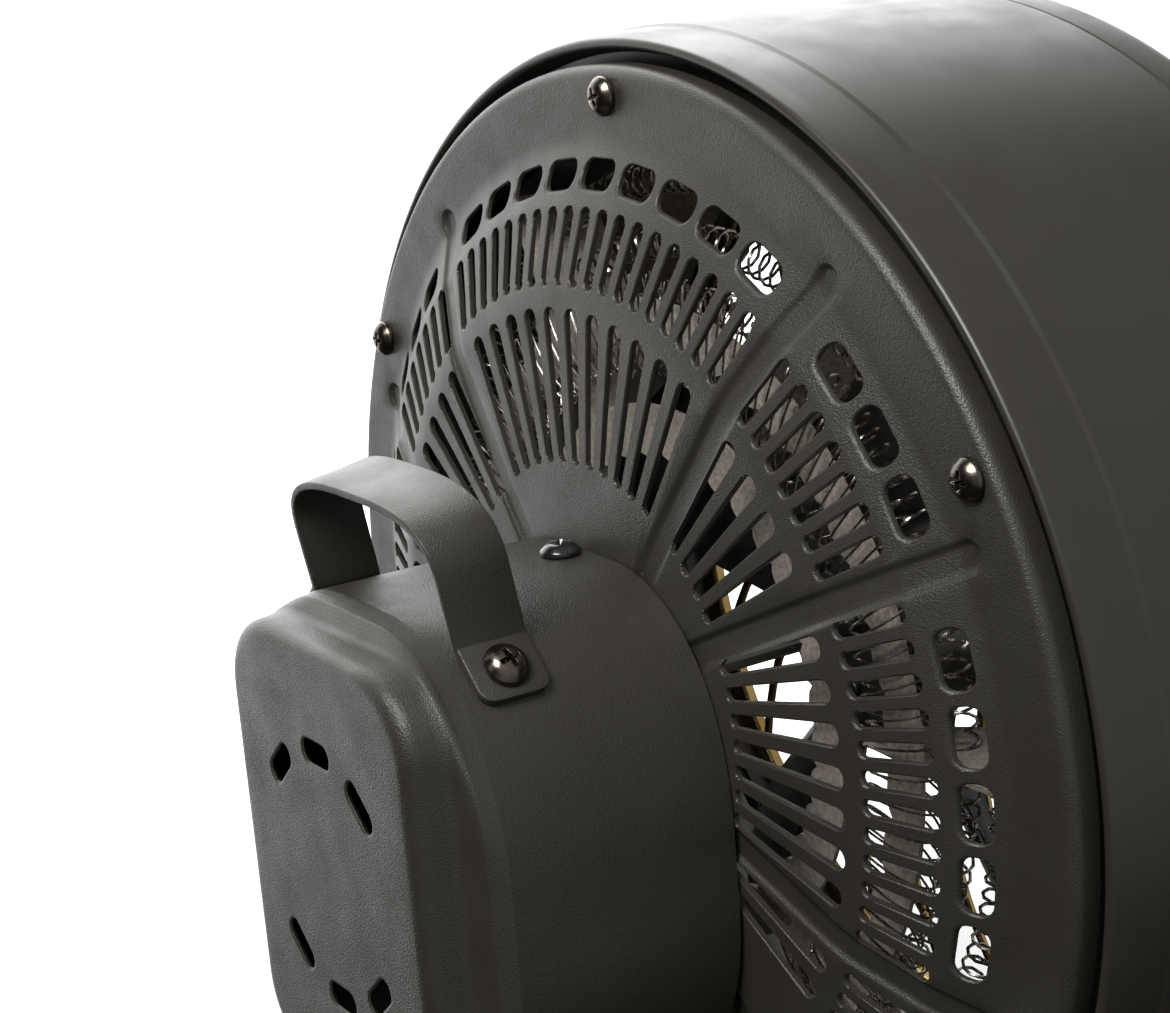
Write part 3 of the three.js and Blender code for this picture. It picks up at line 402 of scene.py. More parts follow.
def surface(name, dark, light, rough, metallic=0.0, grain=0.5, grain_depth=0.05, patch=18.0,
            stretch=(1, 1, 1), coat=0.0, rough_spread=0.06):
    """A finish with patchy colour, uneven gloss and a fine relief."""
    nodes = Nodes(name)
    shader = nodes.shader
    patches = nodes.noise(patch, 3, stretch)
    fine = nodes.noise(grain, 1.5, stretch)
    nodes.link(nodes.ramp(patches, dark, light), shader.inputs["Base Color"])
    gloss = nodes.ramp(nodes.noise(patch / 3, 4, stretch), rough - rough_spread, rough + rough_spread)
    nodes.link(gloss, shader.inputs["Roughness"])
    shader.inputs["Metallic"].default_value = metallic
    shader.inputs["Coat Weight"].default_value = coat
    nodes.bump([(patches, grain_depth), (fine, grain_depth)])
    FINISHES[name] = nodes.material
    return nodes.material


surface("powder_coat", (0.026, 0.023, 0.018), (0.031, 0.028, 0.022), 0.42, grain=0.34,
        grain_depth=0.13, patch=30)
surface("barrel_paint", (0.024, 0.021, 0.016), (0.028, 0.025, 0.020), 0.36, grain=0.9,
        grain_depth=0.012, patch=40)
surface("dark_nickel", (0.10, 0.085, 0.07), (0.17, 0.145, 0.12), 0.24, 1.0, grain=0.8,
        grain_depth=0.01, patch=3)
surface("black_screw", 0.008, 0.014, 0.2, grain=0.8, grain_depth=0.008, patch=3, coat=0.4)
surface("guard_metal", (0.42, 0.29, 0.11), (0.55, 0.40, 0.17), 0.26, 1.0, grain=0.6,
        grain_depth=0.01, patch=12)
surface("mica", (0.34, 0.29, 0.24), (0.62, 0.56, 0.48), 0.55, grain=0.7, grain_depth=0.12, patch=1.1,
        rough_spread=0.12)
surface("heating_wire", (0.32, 0.29, 0.26), (0.55, 0.51, 0.46), 0.25, 1.0, grain=0.3,
        grain_depth=0.01, patch=4)
surface("bare_steel", 0.36, 0.48, 0.3, 1.0, grain=0.25, grain_depth=0.01, patch=5, stretch=(1, 0.1, 1))
surface("galvanised", (0.08, 0.08, 0.078), (0.15, 0.148, 0.145), 0.38, 1.0, grain=1.2,
        grain_depth=0.02, patch=7, rough_spread=0.12)
surface("copper", (0.42, 0.15, 0.06), (0.62, 0.27, 0.12), 0.3, 1.0, grain=0.35, grain_depth=0.12,
        patch=6, stretch=(1, 0.15, 1))
surface("bronze", (0.30, 0.19, 0.09), (0.42, 0.28, 0.13), 0.4, 1.0, grain=0.3, grain_depth=0.03,
        patch=4)
surface("black_plastic", 0.010, 0.016, 0.42, grain=0.35, grain_depth=0.03, patch=9)
surface("rubber", 0.008, 0.014, 0.75, grain=0.4, grain_depth=0.05, patch=6)
surface("amber_lens", (0.75, 0.22, 0.02), (0.9, 0.32, 0.04), 0.12, grain=0.9, grain_depth=0.02,
        patch=5, coat=0.5)

# Every CAD node that stays visible takes the finish of its slot.
CAD_FINISHES = {
    "powder_coat": ["base_plate", "control_box", "stand_saddle"],
    "bare_steel": ["thermal_cutout", "impeller_nut", "motor_shaft", "rotor", "motor_bolt_left",
                   "motor_bolt_right", "thermostat_body", "tip_plunger"],
    "galvanised": ["stator_core", "motor_bracket_rear", "motor_bracket_front", "cover_mount_frame",
                   "impeller", "air_duct"],
    "bronze": ["bushing_rear", "bushing_front"],
    "copper": ["field_coil"],
    "black_plastic": ["heat_switch", "tip_switch", "terminal_block", "heat_knob",
                      "thermostat_knob", "cord_gland"],
    "barrel_paint": ["front_bezel", "guard_badge"],
    "guard_metal": ["front_guard"],
    "mica": ["mica_frame"],
    "heating_wire": ["heating_coil_inner", "heating_coil_middle", "heating_coil_outer"],
    "rubber": ["rubber_foot_1", "rubber_foot_2", "rubber_foot_3", "rubber_foot_4"],
    "amber_lens": ["indicator_lamp"],
}
for slot_name, node_names in CAD_FINISHES.items():
    for node_name in node_names:
        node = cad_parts[node_name]
        node.data.materials.clear()
        node.data.materials.append(FINISHES[slot_name])


# ---------------------------------------------------------------- rear grille
dish_line = rounded(DISH, DISH_ROUNDING, closed=False, steps=4)
DISH_RADII = [r for r, _ in dish_line]
DISH_HEIGHTS = [y for _, y in dish_line]


def rib_depth(x, z):
    """Depth of the pressed grooves at a point, with rounded sides and ends."""
    deepest = 0.0
    for angle in ALL_RIBS:
        a = math.radians(angle)
        across = abs(x * math.cos(a) + z * math.sin(a))
        along = -x * math.sin(a) + z * math.cos(a)
        beyond = max(along - RIB_OUTER_R + RIB_HALF_WIDTH, RIB_INNER_R - along, 0)
        off = math.hypot(across, beyond)
        side = RIB_HALF_WIDTH - RIB_FLOOR_HALF_WIDTH
        share = min(max((RIB_HALF_WIDTH - off) / side, 0), 1)
        deepest = max(deepest, RIB_DEPTH * share * share * (3 - 2 * share))
    return deepest


def slot_outline(row, grow=0.0):
    inner, outer, _, inner_width, outer_width, corner = row
    half_in, half_out = inner_width / 2 + grow, outer_width / 2 + grow
    inner, outer = inner - grow, outer + grow
    outline = [(-half_in, inner), (half_in, inner), (half_out, outer), (-half_out, outer)]
    return rounded(outline, corner + grow, steps=5)


def slot_angles(row):
    inner, outer, pitch = row[:3]
    last = int((180 - pitch / 2) // pitch)
    kept = []
    for k in range(-last, last + 1):
        angle = k * pitch
        nearest = min(abs(abs(angle) - rib) for rib in RIB_ANGLES)
        under_cover = inner < 70 and abs(angle) > COVER_SHADOW_ANGLE
        clear = math.radians(nearest) * (inner + outer) / 2 > RIB_CLEARANCE
        if clear and not under_cover:
            kept.append(angle)
    return kept


def grille_form():
    """The dished sheet with its slots, pressed grooves and rounded lip."""
    sides = 288

    def circle(r):
        return [
            (-r * math.sin(TURN * i / sides), r * math.cos(TURN * i / sides))
            for i in range(sides)
        ]

    loops = [(circle(r), 0.0, False) for r in sorted(set(DISH_RADII[1:]) | EXTRA_RADII)]
    loops.append((circle(DISH_RADII[0]), 0.0, True))
    for row in SLOT_ROWS:
        for angle in slot_angles(row):
            spin = Matrix.Rotation(math.radians(angle), 2)
            for grow, drop in SLOT_EDGE:
                outline = [spin @ Vector(p) for p in slot_outline(row, grow)]
                loops.append((outline, drop, grow == 0.0))
    for angle in ALL_RIBS:
        spin = Matrix.Rotation(math.radians(angle), 2)
        end = RIB_OUTER_R - RIB_HALF_WIDTH
        for k in range(RIB_STEPS + 1):
            half = RIB_HALF_WIDTH + (RIB_FLOOR_HALF_WIDTH - RIB_HALF_WIDTH) * k / RIB_STEPS
            sideways = [
                (half * math.cos(math.pi * k / 10), end + half * math.sin(math.pi * k / 10))
                for k in range(11)
            ]
            outline = [(half, RIB_INNER_R)] + sideways + [(-half, RIB_INNER_R)]
            loops.append(([spin @ Vector(p) for p in outline], 0.0, False))
    flat, drops, kept = filled(loops)
    rear, front = [], []
    for p, drop in zip(flat, drops):
        height = float(np.interp(p.length, DISH_RADII, DISH_HEIGHTS)) - rib_depth(p.x, p.y)
        rear.append((p.x, height - drop, p.y))
        front.append((p.x, height - SHEET, p.y))
    count = len(rear)
    form = Form().add(rear + front, kept + [tuple(i + count for i in t[::-1]) for t in kept])
    rim = RIM_R - LIP_ROUND - 0.01
    used = dict.fromkeys(edge for a, b, c in kept for edge in ((a, b), (b, c), (c, a)))
    for a, b in used:
        if (b, a) not in used and flat[a].length < rim:
            form.faces.append((b, a, a + count, b + count))
    lip = [(RIM_R - LIP_ROUND, 0)]
    turns = [math.pi / 2 * k / 6 for k in range(1, 7)]
    lip += [(RIM_R - LIP_ROUND * (1 - math.sin(t)), -LIP_ROUND * (1 - math.cos(t))) for t in turns]
    lip += [(RIM_R, -LIP_DEPTH + 0.4), (RIM_R - 0.4, -LIP_DEPTH), (RIM_R - SHEET, -LIP_DEPTH)]
    lip += [(RIM_R - SHEET, -LIP_ROUND), (RIM_R - LIP_ROUND, -SHEET)]
    return form.lathe(lip, sides, closed=False)


piece("grille_shell", grille_form(), "powder_coat", ["rear_grille"], smooth=38)


# ---------------------------------------------------------------- motor cover
def cover_outline(y, inset, share, steps=20):
    half_width = COVER_HALF_WIDTH - inset
    top = COVER_TOP - inset * COVER_TOP_SHARE
    bottom = COVER_BOTTOM + inset * COVER_TOP_SHARE
    across = COVER_CORNER[0] + (STEP_CORNER[0] - COVER_CORNER[0]) * share
    up = COVER_CORNER[1] + (STEP_CORNER[1] - COVER_CORNER[1]) * share
    quarter = []
    for i in range(steps + 1):
        turn = math.pi / 2 * i / steps
        quarter.append((math.sin(turn) ** SQUARENESS, abs(math.cos(turn)) ** SQUARENESS))
    right, left = half_width - across, across - half_width
    high, low = top - up, bottom + up
    outline = [(right + across * s, y, high + up * c) for s, c in quarter]
    outline += [(right + across * c, y, low - up * s) for s, c in quarter]
    outline += [(left - across * s, y, low - up * c) for s, c in quarter]
    outline += [(left - across * c, y, high + up * s) for s, c in quarter]
    return outline


def cover_form():
    """The shell from its open mouth to the rear face with its vents."""
    line = rounded([(y, i) for y, i, _ in COVER_PROFILE], [r for _, _, r in COVER_PROFILE], False, 6)
    line.insert(1, (COVER_FRONT + 20, 0))
    rows = []
    for y, inset in line:
        share = float(np.interp(inset, SHARE_STEPS, SHARES))
        rows.append(cover_outline(y, inset, share))
    form = Form().skin(rows)
    rear = line[-1][0]
    loops = [([(p[0], p[2]) for p in rows[-1]], 0.0, False)]
    for angle in VENT_ANGLES:
        spin = Matrix.Rotation(math.radians(angle), 2)
        for grow, drop in VENT_EDGE:
            x, z = VENT_SIZE[0] / 2 + grow, VENT_SIZE[1] / 2 + grow
            corner = VENT_CORNER + grow
            shape = rounded_rectangle(-x, VENT_RING_R - z, x, VENT_RING_R + z, corner, 6)
            placed = [spin @ Vector(p) + Vector((0, VENT_CENTRE_Z)) for p in shape]
            loops.append((placed, drop, grow == 0.0))
    flat, drops, kept = filled(loops)
    face = [(p.x, rear - drop, p.y) for p, drop in zip(flat, drops)]
    return form.add(face, kept)


piece("cover_shell", cover_form(), "powder_coat", ["motor_cover"], sheet=SHEET, smooth=50)


# ---------------------------------------------------------------- handle
def foot_anchor():
    """Where the cover's shoulder first slopes as steeply as the strap's feet."""
    shoulder = [p for p in cover_outline(0, 0, 0, 6) if p[0] > 0 and p[2] > 0]
    for a, b in zip(shoulder, shoulder[1:]):
        if math.atan2(a[2] - b[2], b[0] - a[0]) > FOOT_SLOPE:
            return a[0], a[2]
    return shoulder[-1][0], shoulder[-1][2]


def foot_frame():
    """The foot's anchor above the shoulder and its directions along and out of the foot."""
    x, z = foot_anchor()
    along = (math.cos(FOOT_SLOPE), -math.sin(FOOT_SLOPE))
    out = (math.sin(FOOT_SLOPE), math.cos(FOOT_SLOPE))
    lift = FOOT_LIFT + STRAP_THICK / 2
    anchor = (x + out[0] * lift, z + out[1] * lift)
    bend = (STRAP_HALF_SPAN - anchor[0]) / along[0]
    return anchor, along, out, bend


def strap_line():
    """The strap's middle line in x and z, from one foot's end over the top to the other's."""
    anchor, along, _, bend = foot_frame()
    foot_end = (anchor[0] + along[0] * (bend + STRAP_FOOT), anchor[1] + along[1] * (bend + STRAP_FOOT))
    fold = (anchor[0] + along[0] * bend, anchor[1] + along[1] * bend)
    spring = STRAP_TOP - STRAP_THICK / 2 - STRAP_ARCH
    corner = rounded([foot_end, fold, (STRAP_HALF_SPAN, spring)], FOLD_RADIUS, False, 3)
    half = []
    for share in FOOT_STATIONS:
        half.append(tuple(foot_end[i] + (corner[1][i] - foot_end[i]) * share for i in (0, 1)))
    half += corner[1:-1]
    for k in range(1, 4):
        half.append((STRAP_HALF_SPAN, corner[-2][1] + (spring - corner[-2][1]) * k / 4))
    for k in range(21):
        turn = math.pi / 2 * k / 20
        c, s = abs(math.cos(turn)) ** (2 / 3), math.sin(turn) ** (2 / 3)
        half.append((STRAP_HALF_SPAN * c, spring + STRAP_ARCH * s))
    return half + [(-x, z) for x, z in half[-2::-1]], fold[1]


def handle_form():
    line, low = strap_line()
    lengths = [0.0]
    for a, b in zip(line, line[1:]):
        lengths.append(lengths[-1] + math.dist(a, b))
    section = rounded_rectangle(-1, -STRAP_THICK / 2, 1, STRAP_THICK / 2, 0.35, 3)
    lean = math.sin(STRAP_LEAN)
    rows = []
    for i, (x, z) in enumerate(line):
        before, after = line[max(i - 1, 0)], line[min(i + 1, len(line) - 1)]
        along = Vector((after[0] - before[0], after[1] - before[1])).normalized()
        from_end = min(lengths[i], lengths[-1] - lengths[i])
        short = max(FOOT_CORNER - from_end, 0)
        half_width = STRAP_WIDTH / 2 - FOOT_CORNER + math.sqrt(FOOT_CORNER**2 - short**2)
        row = []
        for across, out in section:
            edge = math.copysign(half_width - 1 + abs(across), across)
            px, pz = x + along.y * out, z - along.x * out
            py = STRAP_REAR_Y - STRAP_WIDTH / 2 + edge
            height = max(pz - low, 0)
            share = min(height / (STRAP_TOP - low), 1)
            pz += (STRAP_REAR_Y - py) * lean * share
            py += lean * height
            row.append((px, py, pz))
        rows.append(row)
    return Form().skin(rows, cap_first=True, cap_last=True)


piece("handle_strap", handle_form(), "powder_coat", ["handle"], smooth=50)


# ---------------------------------------------------------------- screws
# head radius, head height and length under the head
GRILLE_SCREW = (4.0, 2.6, 18.5)
HANDLE_SCREW = (4.5, 3.2, 9.0)
COVER_SCREW = (4.2, 2.6, 5.5)
SHANK_R = 1.9
GRILLE_SCREW_R = RIM_R - 5.9
COVER_SCREW_Y = COVER_FRONT + 4.9
SCREW_GAP = 0.3


def screw_form(head_r, head_h, length):
    """A pan-head screw along z, with its head on the plane z = 0."""
    head = rounded(
        [(0, head_h), (head_r * 0.62, head_h * 0.93), (head_r, head_h * 0.3), (head_r, 0),
         (SHANK_R, 0), (SHANK_R, -length), (0, -length)],
        [0, head_r * 0.9, head_h * 0.35, 0.15, 0.1, 0.3, 0], closed=False, steps=6)
    rows = [[(r * math.cos(TURN * i / 40), r * math.sin(TURN * i / 40), z) for i in range(40)]
            for r, z in head]
    return Form().skin(rows)


def cross_tools(head_r, head_h):
    """The two tapered wedges that cut a driver recess."""
    arm, half, deep, top = head_r * 0.62, head_r * 0.13, head_h * 0.25, head_h + 1
    wide = [(-arm, -half, top), (arm, -half, top), (arm, half, top), (-arm, half, top)]
    narrow = [(x * 0.45, y * 0.7, deep) for x, y, _ in wide]
    wedge = Form().skin([narrow, wide], cap_first=True, cap_last=True)
    return [wedge, wedge.placed(Matrix.Rotation(math.pi / 2, 4, "Z"))]


def screw(name, size, matrix, slot, twist):
    """A screw placed by a matrix that takes its +z axis outwards."""
    turned = matrix @ Matrix.Rotation(math.radians(twist), 4, "Z")
    shape = screw_form(*size).placed(turned)
    tools = [tool.placed(turned) for tool in cross_tools(*size[:2])]
    piece(name + "_head", shape, slot, [name], drills=tools, edge=0.1, smooth=45)


REARWARDS = Matrix.Rotation(-math.pi / 2, 4, "X")
for i in range(6):
    place = about_axis(60 * i) @ Matrix.Translation((0, SCREW_GAP, GRILLE_SCREW_R)) @ REARWARDS
    screw(f"grille_screw_{i + 1}", GRILLE_SCREW, place, "dark_nickel", 20 + 37 * i)

anchor, along, out, bend = foot_frame()
reach = bend + STRAP_FOOT / 2
for side, name in ((1, "handle_screw_left"), (-1, "handle_screw_right")):
    lift = STRAP_THICK / 2 + 0.05
    x = anchor[0] + along[0] * reach + out[0] * lift
    z = anchor[1] + along[1] * reach + out[1] * lift
    place = Matrix.Translation((side * x, STRAP_REAR_Y - STRAP_WIDTH / 2, z))
    place = place @ Matrix.Rotation(side * FOOT_SLOPE, 4, "Y")
    screw(name, HANDLE_SCREW, place, "dark_nickel", 12)
place = Matrix.Translation((0, COVER_SCREW_Y, COVER_TOP + SCREW_GAP))
screw("cover_screw_top", COVER_SCREW, place, "black_screw", 50)
place = Matrix.Translation((0, COVER_SCREW_Y, COVER_BOTTOM - SCREW_GAP)) @ Matrix.Rotation(math.pi, 4, "X")
screw("cover_screw_bottom", COVER_SCREW, place, "black_screw", 15)


# ---------------------------------------------------------------- barrel
RETURN_R = RIM_R - 12.7
RETURN_REAR, RETURN_FRONT = -9.5, -10.7
BEAD_REAR, BEAD_FRONT = -16.6, -17.6


def barrel_form():
    """The drum with a pressed bead, a rolled rear edge and the inner flange that seats the grille."""
    seat = RIM_R + 1.9
    inside = BARREL_R - SHEET
    profile = [
        (BARREL_R, BARREL_FRONT), (BARREL_R, BEAD_FRONT), (BARREL_R - 0.5, BEAD_REAR),
        (BARREL_R - 0.7, -8), (BARREL_R - 1.5, -3.8), (seat + 1.2, -3.6), (seat, -7),
        (seat, RETURN_REAR), (RETURN_R, RETURN_REAR), (RETURN_R, RETURN_FRONT),
        (inside - 0.8, RETURN_FRONT), (inside - 0.5, BEAD_REAR), (inside, BEAD_FRONT),
        (inside, BARREL_FRONT),
    ]
    radii = [0.3, 0.5, 0.5, 6, 2.2, 1.6, 1.5, 0.3, 0.3, 0.3, 0.3, 0.3, 0.3, 0.3]
    return Form().lathe(rounded(profile, radii, steps=4), 240)


piece("barrel_shell", barrel_form(), "barrel_paint", ["barrel"], smooth=45)


# ---------------------------------------------------------------- bezel, duct, guard and badge
BEZEL_FRONT = BARREL_FRONT - 13
BEZEL_BORE_R = BARREL_R - 13.5
DUCT_R = RIM_R - 14.2
GUARD_FRONT = BEZEL_FRONT - 0.3
GUARD_HUB_R = 30.0
GUARD_RING_R = BEZEL_BORE_R - 0.6
GUARD_BARS = 24
GUARD_SWEEP = 34.0
BADGE_R = 24.0


def bezel_form():
    inside = BARREL_R - SHEET - 0.3
    rear = BARREL_FRONT - 0.3
    profile = [
        (inside, BARREL_FRONT + 6), (inside, rear), (BARREL_R, rear), (BARREL_R, BEZEL_FRONT),
        (BEZEL_BORE_R, BEZEL_FRONT), (BEZEL_BORE_R, BEZEL_FRONT + 9),
        (BEZEL_BORE_R + SHEET, BEZEL_FRONT + 9), (BEZEL_BORE_R + SHEET, BEZEL_FRONT + SHEET),
        (inside - SHEET, BEZEL_FRONT + SHEET), (inside - SHEET, BARREL_FRONT + 6),
    ]
    radii = [0.3, 0.2, 0.5, 6, 2.2, 0.4, 0.4, 1.4, 5, 0.3]
    return Form().lathe(rounded(profile, radii, steps=6), 240)


def duct_form():
    rear, front = -12.0, BARREL_FRONT + 4
    outside = DUCT_R + 1
    profile = [(DUCT_R, rear), (outside, rear), (outside, front), (DUCT_R, front)]
    return Form().lathe(rounded(profile, 0.4, steps=3), 180)


def guard_form():
    """Swept round-edged bars between a hub and an outer ring."""
    back = GUARD_FRONT + 4
    ring = [(GUARD_RING_R, back), (GUARD_RING_R, GUARD_FRONT), (GUARD_RING_R - 4, GUARD_FRONT),
            (GUARD_RING_R - 4, back)]
    hub = [(0, back), (GUARD_HUB_R, back), (GUARD_HUB_R, GUARD_FRONT + 1),
           (BADGE_R + 0.3, GUARD_FRONT + 1), (BADGE_R + 0.3, GUARD_FRONT + 2.2), (0, GUARD_FRONT + 2.2)]
    form = Form().lathe(rounded(ring, 1.4, steps=4), 180)
    form.lathe(rounded(hub, [0, 1.2, 1.2, 0.4, 0.3, 0], False, 4), 96, closed=False)
    start, end = GUARD_HUB_R - 1, GUARD_RING_R - 3
    for bar_number in range(GUARD_BARS):
        path = []
        for k in range(15):
            share = k / 14
            angle = 360 * bar_number / GUARD_BARS - GUARD_SWEEP * share**1.4
            path.append(polar(start + (end - start) * share, angle, GUARD_FRONT + 2.2))
        form.tube(path, 1.1, 10)
    return form


def badge_form():
    """A plain domed disc with a turned rim."""
    rear, front = GUARD_FRONT + 1.9, GUARD_FRONT
    profile = [(0, rear), (BADGE_R, rear), (BADGE_R, front + 0.2), (BADGE_R - 2.5, front),
               (BADGE_R - 3.4, front + 0.7), (12, front + 0.25), (0, front + 0.1)]
    return Form().lathe(rounded(profile, [0, 0.3, 0.7, 0.5, 0.4, 20, 0], False, 5), 96, closed=False)


piece("bezel_ring", bezel_form(), "barrel_paint", ["front_bezel"], smooth=45)
piece("duct_wall", duct_form(), "galvanised", ["air_duct"], smooth=45)
piece("guard_bars", guard_form(), "guard_metal", ["front_guard"], smooth=45)
piece("badge_disc", badge_form(), "barrel_paint", ["guard_badge"], smooth=45)


# ---------------------------------------------------------------- heating element
MICA_Y = -6.5
MICA_RINGS = [(46.0, 57.0), (69.0, 79.0)]
MICA_LOBES = 36
LOBE_DEPTH = 1.8
FIN_COUNT = 6
FIN_DEPTH = 22.0
COIL_RADII = [76.0, 89.0, 102.0]
COIL_R = 3.4
COIL_WIRE_R = 0.36
WINDING_WIRE_R = 0.27
WINDINGS = 4
WINDING_TURNS = 41
WINDING_DEPTH = 2.6
WINDING_OVERHANG = 5.5
COIL_PITCH = 3.6
COIL_Y = -19.0


def scalloped(radius, depth, steps=8):
    """Radii and angles of an inner edge of rounded lobes."""
    edge = []
    for lobe in range(MICA_LOBES):
        for k in range(steps):
            share = k / steps
            bulge = abs(math.sin(math.pi * share)) ** 0.5
            edge.append((radius + depth * (1 - bulge), 360 * (lobe + share) / MICA_LOBES))
    return edge


def mica_form():
    """Two flat rings with scalloped inner edges, joined by radial fins."""
    form = Form()
    for inner, outer in MICA_RINGS:
        edge = scalloped(inner, LOBE_DEPTH)
        loops = []
        for y in (MICA_Y - 1, MICA_Y):
            inside = [polar(r, a, y) for r, a in edge]
            middle = [polar(inner + 4, a, y) for _, a in edge]
            outside = [polar(outer, a, y) for _, a in edge]
            loops.append((inside, middle, outside))
        low, high = loops
        form.skin([high[0], high[1], high[2], low[2], low[1], low[0], high[0]])
    for i in range(FIN_COUNT):
        outline = [(MICA_RINGS[0][1] - 6, MICA_Y - 1), (DUCT_R - 2, MICA_Y - 1),
                   (DUCT_R - 2, MICA_Y - FIN_DEPTH), (MICA_RINGS[1][0] + 2, MICA_Y - FIN_DEPTH)]
        outline = rounded(outline, [0, 3, 5, 8], steps=5)
        fin = Form().skin(
            [[(x, y, r) for r, y in outline] for x in (-0.5, 0.5)], cap_first=True, cap_last=True)
        form.join(fin.placed(about_axis(360 / FIN_COUNT * (i + 0.5))))
    return form


def coil_form(radius):
    """A real helix of wire, bent into a ring."""
    turns = round(TURN * radius / COIL_PITCH)
    steps = 10
    path = []
    for k in range(turns * steps):
        twist = TURN * k / steps
        wobble = 0.35 * math.sin(7 * TURN * k / (turns * steps))
        r = radius + COIL_R * math.cos(twist) + wobble
        path.append(polar(r, 360 * k / (turns * steps), COIL_Y + COIL_R * math.sin(twist)))
    return Form().tube(path, COIL_WIRE_R, 5, closed=True)


def winding_form(start):
    """One of the flat windings round the outer mica ring, with strands in front and behind."""
    steps = 20
    count = WINDING_TURNS * steps
    inner, outer = MICA_RINGS[1]
    middle, reach = (inner + outer) / 2, (outer - inner) / 2 + WINDING_OVERHANG
    path = []
    for k in range(count):
        twist = TURN * k / steps
        uneven = 0.9 * math.sin(5 * TURN * k / count + start)
        r = middle + (reach + uneven) * math.cos(twist)
        y = MICA_Y - 0.5 + WINDING_DEPTH * math.sin(twist)
        path.append(polar(r, start + 360 * k / count, y))
    return Form().tube(path, WINDING_WIRE_R, 5, closed=True)


def element_winding():
    form = Form()
    for k in range(WINDINGS):
        form.join(winding_form(360 / WINDING_TURNS * k / WINDINGS))
    return form


piece("mica_board", mica_form(), "mica", ["mica_frame"], smooth=50)
piece("element_winding", element_winding(), "heating_wire", [], smooth=60)
for place, radius in zip(("inner", "middle", "outer"), COIL_RADII):
    name = f"heating_coil_{place}"
    piece(name + "_helix", coil_form(radius), "heating_wire", [name], smooth=60)


# ---------------------------------------------------------------- impeller
IMPELLER_R = DUCT_R - 15
HUB_R = 24.0
HUB_REAR = BARREL_FRONT + 32
HUB_DEPTH = 22.0
BLADES = 5
BLADE_TIP_HALF = 23.0
BLADE_TIP_PITCH = 32
BLADE_TWIST = 18
BLADE_CAMBER = 3.2
RIVET_RING_R = 15
SHAFT_R = 3.0


def blade_form():
    """A cambered, twisted sheet blade with a rounded tip."""
    rows = []
    steps, across_steps = 16, 12
    for i in range(steps + 1):
        share = i / steps
        r = HUB_R - 3 + (IMPELLER_R - HUB_R + 3) * share
        pitch = math.radians(BLADE_TIP_PITCH + BLADE_TWIST * (1 - share))
        half = BLADE_TIP_HALF * (0.55 + 0.45 * share)
        if share > 0.85:
            half *= math.sqrt(max(1 - ((share - 0.85) / 0.15) ** 2 * 0.45, 0))
        row = []
        for k in range(across_steps + 1):
            u = 2 * k / across_steps - 1
            camber = BLADE_CAMBER * (1 - u * u)
            x = half * u * math.cos(pitch) - camber * math.sin(pitch)
            y = half * u * math.sin(pitch) + camber * math.cos(pitch)
            row.append(polar(r, -math.degrees(x / r), y + HUB_REAR - HUB_DEPTH / 2))
        rows.append(row)
    return Form().skin(rows, round_rows=False)


def impeller_form():
    form = Form()
    for i in range(BLADES):
        form.join(blade_form().placed(about_axis(360 * i / BLADES)))
    return form


def hub_form():
    front = HUB_REAR - HUB_DEPTH
    profile = [(SHAFT_R + 0.3, HUB_REAR), (HUB_R, HUB_REAR), (HUB_R, front), (HUB_R - 6, front),
               (SHAFT_R + 0.3, front)]
    form = Form().lathe(rounded(profile, [0.4, 2.5, 5, 0, 0.4], steps=6), 72)
    for i in range(BLADES):
        rivet = rounded([(0, HUB_REAR + 1), (2.2, HUB_REAR + 1), (2.2, HUB_REAR - 0.5), (0, HUB_REAR - 0.5)],
                        [0, 0.9, 0, 0], False, 4)
        rivet_form = Form().lathe(rivet, 16, closed=False)
        place = about_axis(360 / BLADES * (i + 0.5)) @ Matrix.Translation((0, 0, RIVET_RING_R))
        form.join(rivet_form.placed(place))
    return form


def nut_form():
    front = HUB_REAR - HUB_DEPTH - 0.3
    rows = []
    for y, grow in ((front, 0.9), (front - 0.6, 1), (front - 4.4, 1), (front - 5, 0.9)):
        rows.append([polar(6 * grow, 60 * k, y) for k in range(6)])
    bore = [[polar(SHAFT_R + 0.3, 60 * k, y) for k in range(6)] for y in (front - 5, front)]
    return Form().skin([*rows, *bore, rows[0]])


piece("impeller_blades", impeller_form(), "galvanised", [], body="fan", sheet=1.4, edge=0.3)
piece("impeller_hub", hub_form(), "galvanised", ["impeller"], body="fan")
piece("hub_nut", nut_form(), "bare_steel", ["impeller_nut"], body="fan", edge=0.2)


# ---------------------------------------------------------------- stand
box_low, box_high = (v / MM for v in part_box("control_box"))
plate_low, plate_high = (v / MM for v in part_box("base_plate"))
saddle_low, saddle_high = (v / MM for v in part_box("stand_saddle"))
CONTROL_X = 38.0
CONTROL_Z = 25.0
LAMP_R = 3.5
GLAND_R = 7.5
GLAND_Z = 24.0
PLUNGER_Y = -20.0
KNOB_R = 13.0
KNOB_HEIGHT = 14.0
KNOB_GAP = 0.3
FLUTES = 24


def box_form():
    """The control box's shell, open at the bottom, with pressed round edges."""
    edge = 4.0
    rows = []
    for z, inset in [(box_low.z, 0), (box_low.z + 2, 0), (box_high.z - edge - 6, 0)] + [
        (box_high.z - edge * (1 - math.sin(t)), edge * (1 - math.cos(t)))
        for t in [math.pi / 2 * k / 8 for k in range(9)]
    ]:
        outline = rounded_rectangle(box_low.x + inset, box_low.y + inset, box_high.x - inset,
                                    box_high.y - inset, 14 - inset, 10)
        rows.append([(x, y, z) for x, y in outline])
    return Form().skin(rows, cap_last=True)


def plate_form():
    outline = rounded_rectangle(plate_low.x, plate_low.y, plate_high.x, plate_high.y, 20, 14)
    rows = [[(x, y, z) for x, y in outline] for z in (plate_low.z, plate_high.z)]
    return Form().skin(rows, cap_first=True, cap_last=True)


